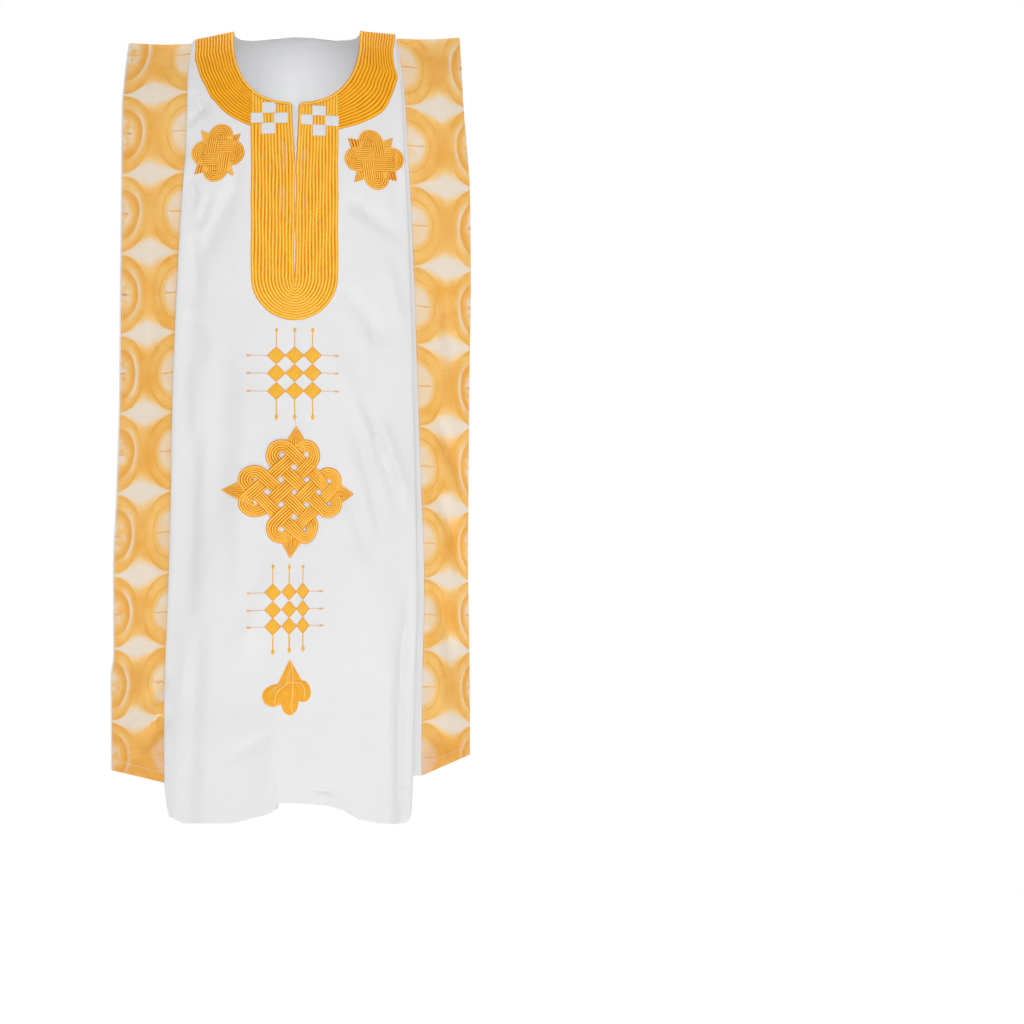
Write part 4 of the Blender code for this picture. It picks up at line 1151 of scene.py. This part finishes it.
def chest_motif(tops, *tables):
    threads = Threads()
    centre, upright, level, tips = (mm(table) for table in tables)
    for tip in tips:
        (x, z), (side_x, side_z) = tip, np.sign(tip)
        beside_up = np.array([side_x * 0.0150, z * 0.86])
        beside_level = np.array([x * 0.84, side_z * 0.0140])
        inner = np.array([side_x * 0.0100, side_z * 0.0100])
        threads.patch(net(inner, beside_level, beside_up, tip, 7, 5) + centre, 0.0008, dome=0.2)
        for n in range(TIP_CORDS):
            share = (n + 0.5) / TIP_CORDS
            start = (1 - share) * beside_level + share * inner
            end = (1 - share) * tip + share * beside_up
            threads.cord(np.array([centre + start, centre + 0.99 * end]), *TIP_CORD, 0.003)
    for (length, width, lean, shift), turned in ((upright, True), (level, False)):
        for end in (-1, 1):
            # the ground under the loop's round end
            middle = end * (length - width)
            a, b = np.meshgrid(np.linspace(-1, 1, 9), np.linspace(-1, 1, 9), indexing="ij")
            disc = np.stack([a * np.sqrt(1 - 0.5 * b * b), b * np.sqrt(1 - 0.5 * a * a)], axis=-1)
            place = np.array([shift + lean * middle / length, middle])
            threads.patch(0.86 * width * disc + (place if turned else place[::-1]) + centre, 0.0004, dome=0.1)
        other = level[1] if turned else upright[1]
        for n in range(MOTIF_CORDS):
            share = 1 - (n + 0.5) / MOTIF_CORDS
            loop = stadium(length - width + width * share, width * share, 16)
            loop[:, 1] += lean * loop[:, 0] / length + shift
            loop = resampled(loop[:, ::-1] if turned else loop, 0.0012, closed=True)
            away = np.abs(loop[:, 1] if turned else loop[:, 0])
            over = np.tanh(loop / 0.0009).prod(axis=1) * tops * (1 if turned else -1)
            lift = MOTIF_LIFT * np.clip(0.5 + 0.5 * over, 0, 1)
            lift = lift * (1 - smooth(away, other - 0.0005, other + 0.0035))
            path = np.column_stack([loop + centre, lift])
            threads.cord(path, width / MOTIF_CORDS * 1.08, MOTIF_CORD_HEIGHT, 0.003, closed=True)
    return threads


KNOT_CENTRE = np.array([-0.0021, -0.698])
KNOT_PITCH = 0.0268
KNOT_CORDS = 5
KNOT_CORD_PITCH = 0.0037
KNOT_CORD_HEIGHT = 0.0015
KNOT_LIFT = 0.0016  # of a loop where it tops another
TIP_LINE = 0.0021, 0.0011  # width and height of the fine cords on a tip
KNOT_TIP_FOOT = 0.062  # of each tip, from the centre
KNOT_LOOP_END = 0.0560  # beyond which a loop crosses no other
# Tips: apex from the centre, and half width of the foot
KNOT_TIPS = mm([(2.6, 99.5, 20), (89.5, -3.2, 16), (-7, -99.5, 19), (-111, 3, 20.5)])
# How far the loops are pulled sideways where they lie this far right or left of the centre
KNOT_PULL = mm([
    (-79.9, -6.2), (-37.7, -3.6), (-18.9, -1.8), (0, 0), (19.1, -0.8), (38, -0.3), (57.4, -4.5),
    (79.9, -8.8),
])


def pulled(x, z):
    """The knot's loops as they were stitched down: a little uneven from side to side."""
    aside = smooth(np.abs(x), 0.030, 0.055)
    squeeze = np.where(x > 0, -0.095 * (z + 0.0050), -0.070 * (z - 0.0229)) * aside
    squeeze = squeeze + 0.10 * np.clip(-0.0569 - z, 0, None)
    moved = straight(KNOT_PULL, x) * (1 - 0.55 * smooth(np.abs(z), 0.030, 0.055) * (x < 0))
    moved = moved - 0.0072 * smooth(-z, 0.0260, 0.0640) * smooth(x, 0.004, 0.040)
    moved = moved - 0.0026 * smooth(z, 0.0322, 0.0508) * smooth(x, 0.015, 0.040)
    return x + moved, z + squeeze


def knot_tip(threads, tip, wide):
    """A pointed tip of cords that run together, with finer cords along its sides and middle."""
    out = tip / np.hypot(*tip)
    side = np.array([-out[1], out[0]])

    def run(share, end):
        return resampled(np.array([out * KNOT_TIP_FOOT + side * share * wide, end]), 0.0015) + KNOT_CENTRE

    for share in np.arange(-4, 5) / 4:
        path = run(share, tip + side * share * 0.0003)
        along = np.linspace(0, 1, len(path))
        path = path + np.outer(np.sin(along * math.pi) * share * 0.0012, side)
        lift = np.full(len(path), 0.0004 * (1 - abs(share)))
        threads.cord(np.column_stack([path, lift, 1.0 - 0.80 * along]), 0.0054, 0.0013, 0.004)
    for share in (-1.0, -0.30, 0.30, 1.0):
        path = run(share, tip * 0.985 + side * share * 0.0006)
        lift = np.full(len(path), 0.0007 + 0.0003 * (abs(share) < 1))
        threads.cord(np.column_stack([path, lift]), *TIP_LINE, 0.003)


def knot():
    threads = Threads()
    for tip_x, tip_z, wide in KNOT_TIPS:
        knot_tip(threads, np.array([tip_x, tip_z]), wide)
    for along_first in (True, False):
        for sign in (-1, 1):
            for n in range(KNOT_CORDS):
                radius = 0.5 * KNOT_PITCH + (n - 0.5 * (KNOT_CORDS - 1)) * KNOT_CORD_PITCH
                loop = stadium(2 * KNOT_PITCH + radius, radius, 20)
                run, cross = resampled(loop + [0, sign * KNOT_PITCH], 0.0015, closed=True).T
                strand = sign * KNOT_PITCH + np.sign(cross - sign * KNOT_PITCH) * 0.5 * KNOT_PITCH
                wave = np.cos(math.pi * (run + strand) / KNOT_PITCH) * (1 if along_first else -1)
                out = np.abs(run)
                lift = KNOT_LIFT * np.clip(0.5 + wave / 0.6, 0, 1) * (1 - smooth(out, 0.0500, KNOT_LOOP_END))
                if not along_first:
                    lift = lift + 0.0013 * smooth(out, 0.0490, KNOT_LOOP_END)
                a, c = (run, cross) if along_first else (cross, run)
                place = np.stack(pulled((a - c) / math.sqrt(2), (a + c) / math.sqrt(2)), axis=1) + KNOT_CENTRE
                bulge = 1.08 if n < KNOT_CORDS - 1 else 1.35
                path = np.column_stack([place, lift])
                threads.cord(path, KNOT_CORD_PITCH * bulge, KNOT_CORD_HEIGHT, 0.0034, closed=True)
    return threads


# ---- lattices and leaf ----

# Lattices of three by three lozenges: tilt of the rows; x of the columns; z of the rows; width of a lozenge
# in each column; how far the lines reach left, right, up and down; a lozenge's height and how much less each
# next line reaches down
LATTICES = {
    "lattice_upper": (
        0.004, (-29.9, -2.1, 25.1), (-490.2, -517, -544.2), (26.8, 26.6, 26.4),
        (-75.7, 65.2, -449, -587.6), (24.4, 0),
    ),
    "lattice_lower": (
        0.043, (-35.2, -10.4, 10.4), (-849.2, -875.7, -901.2), (24, 21.5, 18.2),
        (-75.1, 41.7, -808.7, -944), (23.6, 2.4),
    ),
}
# Width and height of the lines that reach up, down and sideways, then length and width of their buds
LINE_UP, LINE_DOWN, LINE_ASIDE = (0.0017, 0.0008), (0.0021, 0.0009), (0.0013, 0.0006)
BUD_UP, BUD_DOWN, BUD_ASIDE = (0.0080, 0.0044), (0.0095, 0.0052), (0.0085, 0.0034)
BUD_SHARES = [0.25, 0.62, 0.92, 1.0, 0.88, 0.55, 0.12]  # of its width
BUD_HEIGHT = 0.0010
LOZENGE_EDGE = 0.0010, 0.0008  # width and height


def bud(threads, x, z, along_x, along_z, length, width):
    """A small pointed bud that ends at (x, z)."""
    at = np.linspace(-length, 0, 7)
    path = np.column_stack([x + along_x * at, z + along_z * at, np.full(7, 0.0003), BUD_SHARES])
    threads.cord(path, width, BUD_HEIGHT, length / 6.2)


def lattice(tilt, *tables):
    bold, fine, edges = Threads(), Threads(), Threads()
    columns, rows, widths, (left, right, top, low), (height, slant) = (mm(table) for table in tables)

    def tilted(x):
        return tilt * (x - columns[1])

    for n, x in enumerate(columns):
        wide, tall = 0.52 * widths[n], 0.535 * height
        for z in rows + tilted(x):
            corners = np.array([(x + wide, z), (x, z + tall), (x - wide, z), (x, z - tall)])
            bold.patch(net(corners[0], corners[3], corners[1], corners[2], 5, 5), 0.0010, dome=0.35)
            edges.cord(corners, *LOZENGE_EDGE, 0.002, closed=True)
        z = rows[0] + tilted(x) + 0.5 * height
        bold.cord([(x, z - 0.001), (x + 0.0004, top)], *LINE_UP, 0.004)
        bud(bold, x + 0.0004, top + 0.0010, 0, 1, *BUD_UP)
        z = rows[-1] + tilted(x) - 0.5 * height
        end = low + n * slant
        bold.cord([(x, z + 0.001), (x + 0.0003, end)], *LINE_DOWN, 0.004)
        bud(bold, x + 0.0003, end - 0.0010, 0, -1, *BUD_DOWN)
    for z in rows:
        for end, side, column in ((left, -1, 0), (right, 1, -1)):
            start = columns[column] + side * 0.50 * widths[column]
            drop = z + tilted(end) - (0.0014 if side > 0 else -0.0002)
            fine.cord([(start, z + tilted(start)), (end, drop)], *LINE_ASIDE, 0.004)
            bud(fine, end + side * 0.0006, drop, side, 0, *BUD_ASIDE)
    return bold, fine, edges


LEAF_CENTRE = np.array([-0.0091, -1.0047])
VEIN_HEIGHT = 0.0008
MEETING = (4, 18.8)  # of the veins, from the leaf's centre in millimetres
# Lobes: height and foot in metres, the line it springs from, the edge line
LOBES = [
    (0.0013, 0.0005, [(4, 19), (-10, 13), (-16, 4), (-12, -10)], [
        (-17.5, 15.6), (-29, 14.8), (-39, 8.5), (-44.2, -3), (-41.5, -13), (-33.8, -19.2), (-24.3, -21.2),
        (-16.2, -17.8), (-11.5, -13),
    ]),
    (0.0014, 0.0008, [(4.5, 18.5), (4, 9), (-2, -2), (-10, -13)], [
        (-4, 16.5), (-16.5, 7.5), (-22.2, -4.5), (-23.5, -15), (-14, -14),
    ]),
    (0.0017, 0.0005, [(-11, 6), (4, 19.5), (12.5, 10)], [
        (-13.8, -12), (-13.8, -19), (-10.8, -26.8), (-5, -32.4), (2, -33.4), (7, -30.5), (12, -21.5),
        (14, -10), (13, -2),
    ]),
    (0.0013, 0.0004, [(3, 2), (6, 9), (6, 16), (2, 20)], [
        (9, -8), (16, -12.2), (21.8, -13.8), (28.4, -10.2), (32.6, -0.5), (30.5, 11.9), (26.2, 20),
        (21.2, 22.4), (16, 21.2),
    ]),
]
SPIKE = [(-0.1, 52), (-19, 14.8), (17.6, 21.4), (4, 15)]  # apex, left, right and foot
# Veins: points, width, lift and the shares of the width at both ends. First the spike's
VEINS_SPIKE = [([MEETING, (4.8, 28), (2.8, 40), (0.2, 50)], 2, 1.6, (1, 0.6))]
VEINS_SPIKE += [
    ([(2.2 - away, 17), (2.4 - 0.5 * away, 29), (0.6, 44.5 - 0.5 * away)], 1.2, 1.6, (1, 0.5))
    for away in (3.5, 7, 10.5)
]
VEINS_LEFT = [
    ([(-19, 15), (-10, 15.8), MEETING], 1.2, 1.4, (0.7, 1)),
    ([MEETING, (-6.2, 15), (-16.5, 7), (-22.2, -4.6), (-23.5, -15)], 2, 1.8, (0.7, 1)),
]
for share in (0.15, 0.35, 0.55, 0.75):
    x, z = -7 - 15 * share, 15 - 17 * share
    VEINS_LEFT.append(([(x, z), (x - 8, z + 1), (x - 16, z - 2)], 1.2, 1.4, (1, 0.5)))
VEINS_LEFT.append(([(-40.5, -6), (-36, -14.5), (-28.5, -18), (-21.5, -16.5), (-16, -13)], 1.4, 1, (1, 0.5)))
VEINS_LOW = [([MEETING, (4, 5.3), (2.9, -11.2), (1.6, -20), (3.4, -29)], 1.9, 2, (0.9, 0.9))]
VEINS_RIGHT = [
    ([(5, 19), (15.2, 17.8), (21.6, 11.2), (22.8, 3.6), (21.4, -5)], 1.9, 1.5, (0.7, 1)),
    ([(5.6, 18), (12, 14), (15, 9)], 0.9, 1.4, (1, 0.5)),
]


def leaf():
    """A lobed leaf of satin stitch under a spike, with raised veins that meet at the spike's foot."""
    filled, veins = Threads(), Threads()
    for height, foot, hub, edge in LOBES:
        edge, hub = rounded(resampled_to(mm(edge), 13), 2), resampled_to(mm(hub), 13)
        grid = np.array([between(one, two, 9) for one, two in zip(hub, edge)])
        filled.patch(grid + LEAF_CENTRE, height, foot, 0.5)
    apex, left, right, foot = mm(SPIKE)
    for one, two in ((left, foot), (foot, right)):
        grid = [between(base, apex + (base - foot) * 0.02, 8) for base in between(one, two, 6)]
        filled.patch(np.array(grid) + LEAF_CENTRE, 0.0012, 0.0008, 0.4)
    for points, width, lift, ends in VEINS_SPIKE + VEINS_LEFT + VEINS_LOW + VEINS_RIGHT:
        path = rounded(resampled_to(mm(points) + LEAF_CENTRE, 24), 6)
        path = np.column_stack([path, np.full(24, lift / 1000), np.linspace(*ends, 24)])
        veins.cord(path, width / 1000, VEIN_HEIGHT, 0.0025)
    return filled, veins


# ---- stitches ----

STITCH_PITCH, STITCH_LENGTH, STITCH_WIDTH, STITCH_RISE = 0.0036, 0.0027, 0.0007, 0.00045
STITCH_FACES = np.array([(0, 1, 3, 2), (4, 6, 7, 5), (0, 4, 5, 1), (1, 5, 7, 3), (3, 7, 6, 2), (2, 6, 4, 0)])


def stitch_line(spots, normals):
    """Short stitches along a line on the cloth, as boxes with eight corners each."""
    far = lengths(spots)
    starts = np.arange(0.4 * STITCH_PITCH, far[-1] - STITCH_LENGTH, STITCH_PITCH)
    starts = starts + RANDOM.uniform(-0.12, 0.12, len(starts)) * STITCH_PITCH
    one, two = read_at(spots, starts, far), read_at(spots, starts + STITCH_LENGTH, far)
    normal = read_at(normals, starts + 0.5 * STITCH_LENGTH, far)
    along = two - one
    side = np.cross(along, normal)
    side *= 0.5 * STITCH_WIDTH / np.linalg.norm(side, axis=1, keepdims=True)
    middle = 0.5 * (one + two) + STITCH_RISE * normal
    foot = [(end - 0.0003 * normal, 0.6 * side) for end in (one, two)]
    ring = foot + [(middle + share * along, side) for share in (-0.22, 0.22)]
    return np.stack([place + sign * out for place, out in ring for sign in (-1, 1)], axis=1)


def stitches(name, lines):
    corners = np.concatenate([stitch_line(*line) for line in lines])
    faces = (STITCH_FACES + 8 * np.arange(len(corners))[:, None, None]).reshape(-1, 4)
    corners = corners.reshape(-1, 3)
    faces = [tuple(face) for face in faces.tolist()]
    return repaired(new_object(name, corners, faces, corners[:, (0, 2)], THREAD))


# ---- the robe ----

COTTON = white_cotton()
DYED = {-1: tie_dye("tie_dyed_cotton_right", 0.0295), 1: tie_dye("tie_dyed_cotton_left", 0.0235)}
# Each gold cord paints a highlight on its crest and shade down its sides; the motif and placket cords have
# lighter painted highlights, and the placket cord lighter painted shade.
CORD = gold_cord("gold_couched_cord", (1.0, 0.62, 0.06), (0.96, 0.360, 0.001), (0.64, 0.160, 0.0005))
SATIN = satin("gold_satin_stitch", (0.95, 0.530, 0.045), (0.87, 0.420, 0.020), 0.0005)
MOTIF_CORD = gold_cord("gold_motif_cord", (1.0, 0.73, 0.20), (0.96, 0.380, 0.003), (0.62, 0.150, 0.001))
PLACKET_CORD = gold_cord("gold_placket_cord", (1.0, 0.74, 0.17), (0.95, 0.395, 0.003), (0.74, 0.230, 0.001))
FINE_SATIN = satin("gold_fine_stitch", (0.87, 0.56, 0.26), (0.76, 0.43, 0.23), 0.0005)
EDGE_SATIN = satin("gold_edge_stitch", (0.86, 0.34, 0.020), (0.76, 0.26, 0.010), 0.0005)
LEAF_SATIN = satin("gold_leaf_stitch", (0.94, 0.480, 0.022), (0.84, 0.335, 0.006), 0.0006)
VEIN_SATIN = satin("gold_vein_stitch", (1.0, 0.76, 0.26), (0.98, 0.58, 0.12), 0.0005)
WHITE_SATIN = satin("white_satin_stitch", (0.80, 0.81, 0.83), (0.72, 0.73, 0.76), 0.0004, 0.5)
THREAD = satin("white_thread", (0.80, 0.81, 0.84), (0.72, 0.73, 0.77), 0.0004, 0.6)


def hand_over(made, node):
    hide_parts(node)


def sew(threads, node, kind, material):
    hand_over(threads.build(f"{node}_{kind}", material), node)


def hem_line(half, points, drops, stretch):
    """The line of the hem's stitches across the middle of a half, from fold to fold."""
    middle = slice(WING_COLUMNS, len(points) - WING_COLUMNS)
    points, normal = points[middle], normals_of(points, half.toward)[middle]
    spots, normals = [], []
    for column, up in enumerate(((BODY_LENGTH - drops) * stretch)[middle]):
        row = np.interp(-HEM_DEPTH, -up, np.arange(len(up)))
        low, share = int(row), row - int(row)
        spots.append((1 - share) * points[column, low] + share * points[column, low + 1])
        normals.append(normal[column, low])
    return np.array(spots) + (0.5 * WALL - 0.0003) * np.array(normals), np.array(normals)


def cloth_pieces():
    for half, half_name in ((FRONT_HALF, "front"), (BACK_HALF, "back")):
        points, drops, stretch, spans = cloth_grid(half)
        made = panel(f"{half_name}_panel_cloth", half, points, drops, stretch, COTTON)
        hand_over(made, f"{half_name}_panel")
        made = stitches(f"hem_stitches_{half_name}", [hem_line(half, points, drops, stretch)])
        hand_over(made, f"{half_name}_panel")
        for side, wearer in ((-1, "right"), (1, "left")):
            name = f"strip_{half_name}_{wearer}"
            made, lines = strip(f"{name}_cloth", half, side, points, drops, stretch, spans[side], DYED[side])
            hand_over(made, name)
            hand_over(stitches(f"{name}_stitches", lines), name)


def embroidery():
    for side, wearer in ((-1, "right"), (1, "left")):
        sew(yoke_front(side), f"yoke_front_{wearer}", "cords", CORD)
        name = f"chest_motif_{wearer}"
        sew(chest_motif(*CHEST_MOTIFS[name]), name, "cords", MOTIF_CORD)
    sew(yoke_back(), "yoke_back", "cords", CORD)
    sew(placket(), "placket", "cords", PLACKET_CORD)
    sew(squares(), "placket", "squares", WHITE_SATIN)
    sew(knot(), "knot", "cords", MOTIF_CORD)
    for name, tables in LATTICES.items():
        bold, fine, edges = lattice(*tables)
        sew(bold, name, "satin", SATIN)
        sew(edges, name, "edges", EDGE_SATIN)
        if name == "lattice_upper":
            # the line from its middle bud to the tip of the knot
            fine.cord([(-0.0014, -0.5870), (0.0, -0.5985)], 0.0010, 0.0005, 0.003)
        sew(fine, name, "fine_lines", FINE_SATIN)
    filled, veins = leaf()
    sew(filled, "leaf", "satin", LEAF_SATIN)
    sew(veins, "leaf", "veins", VEIN_SATIN)


cloth_pieces()
embroidery()


# ---- floor, light and camera ----


def add_object(name, data, place=(0, 0, 0), turn=(0, 0, 0)):
    made = bpy.data.objects.new(name, data)
    made.location, made.rotation_euler = place, turn
    bpy.context.scene.collection.objects.link(made)
    return made


def studio():
    """A round pale floor below the hem; the white room round it is the world."""
    radius, low, steps = 7.0, -1.47, 96
    corners = [(0, 0, low)]
    for n in range(steps):
        turn = 2 * math.pi * n / steps
        corners.append((radius * math.cos(turn), radius * math.sin(turn), low))
    mesh = bpy.data.meshes.new("studio_floor")
    mesh.from_pydata(corners, [], [(0, 1 + n, 1 + (n + 1) % steps) for n in range(steps)])
    material, shader, place, *_ = new_material("studio_floor", (0.94, 0.94, 0.945), 0.9, 0.5)
    tone = mix(place.noise(3.0, 2.0), (0.93, 0.93, 0.935), (0.95, 0.95, 0.955))
    fill(shader, {"Base Color": tone, "Emission Color": (1, 1, 1), "Emission Strength": 0.7})
    mesh.materials.append(material)
    add_object("studio_floor", mesh)


def lamp(name, place, aim, size, power, spread=180):
    data = bpy.data.lights.new(name, "AREA")
    data.spread = math.radians(spread)
    data.shape = "RECTANGLE"
    data.size, data.size_y = size
    data.energy = power
    add_object(name, data, place, (Vector(aim) - Vector(place)).to_track_quat("-Z", "Y").to_euler())


def camera():
    data = bpy.data.cameras.new("camera")
    data.sensor_width = 36
    data.lens = 691.4
    data.clip_end = 120
    bpy.context.scene.camera = add_object("camera", data, (0.328, -30.0, -0.728), (0.5 * math.pi, 0, 0))


def white_room():
    """The world lights the robe softly, and is plain white where nothing stands before it."""
    world = bpy.data.worlds.new("studio")
    world.use_nodes = True
    tree = world.node_tree
    soft = tree.nodes["Background"]
    fill(soft, {"Color": (1.0, 0.995, 0.99), "Strength": 0.25})
    seen = laid(tree, "LightPath", {}, "Is Camera Ray")
    plain = laid(tree, "Background", {"Color": (1, 1, 1)})
    shown = laid(tree, "MixShader", {0: seen, 1: Value(soft.outputs[0]), 2: plain})
    fill(tree.nodes["World Output"], {"Surface": shown})
    bpy.context.scene.world = world


studio()
camera()
white_room()
for side, name in ((-1, ""), (1, "rear_")):
    lamp(f"{name}key", (-4.3 * side, 2.2 * side, 0.9), (0, 0, -0.6), (1.0, 1.0), 12)
    lamp(f"{name}fill", (4.2 * side, 4.6 * side, -0.2), (0, 0, -0.8), (3.4, 3.0), 3)
    lamp(f"{name}front", (-0.3 * side, 7.5 * side, -0.3), (0, 0, -0.85), (2.4, 2.4), 95 if side < 0 else 88)
    lamp(f"{name}low", (0, 1.2 * side, -1.5), (0, 0, -1.15), (0.8, 0.3), 0.60)
lamp("neck", (0, -0.30, 0.30), (0, 0.10, -0.045), (0.03, 0.03), 0.086, spread=34)
lamp("top", (0, -1.9, 2.9), (0, 0, 0.05), (1.6, 1.6), 44)
lamp("rear_top", (0, 1.9, 2.9), (0, 0, 0), (1.6, 1.6), 56)
bpy.context.scene.view_settings.view_transform = "Standard"
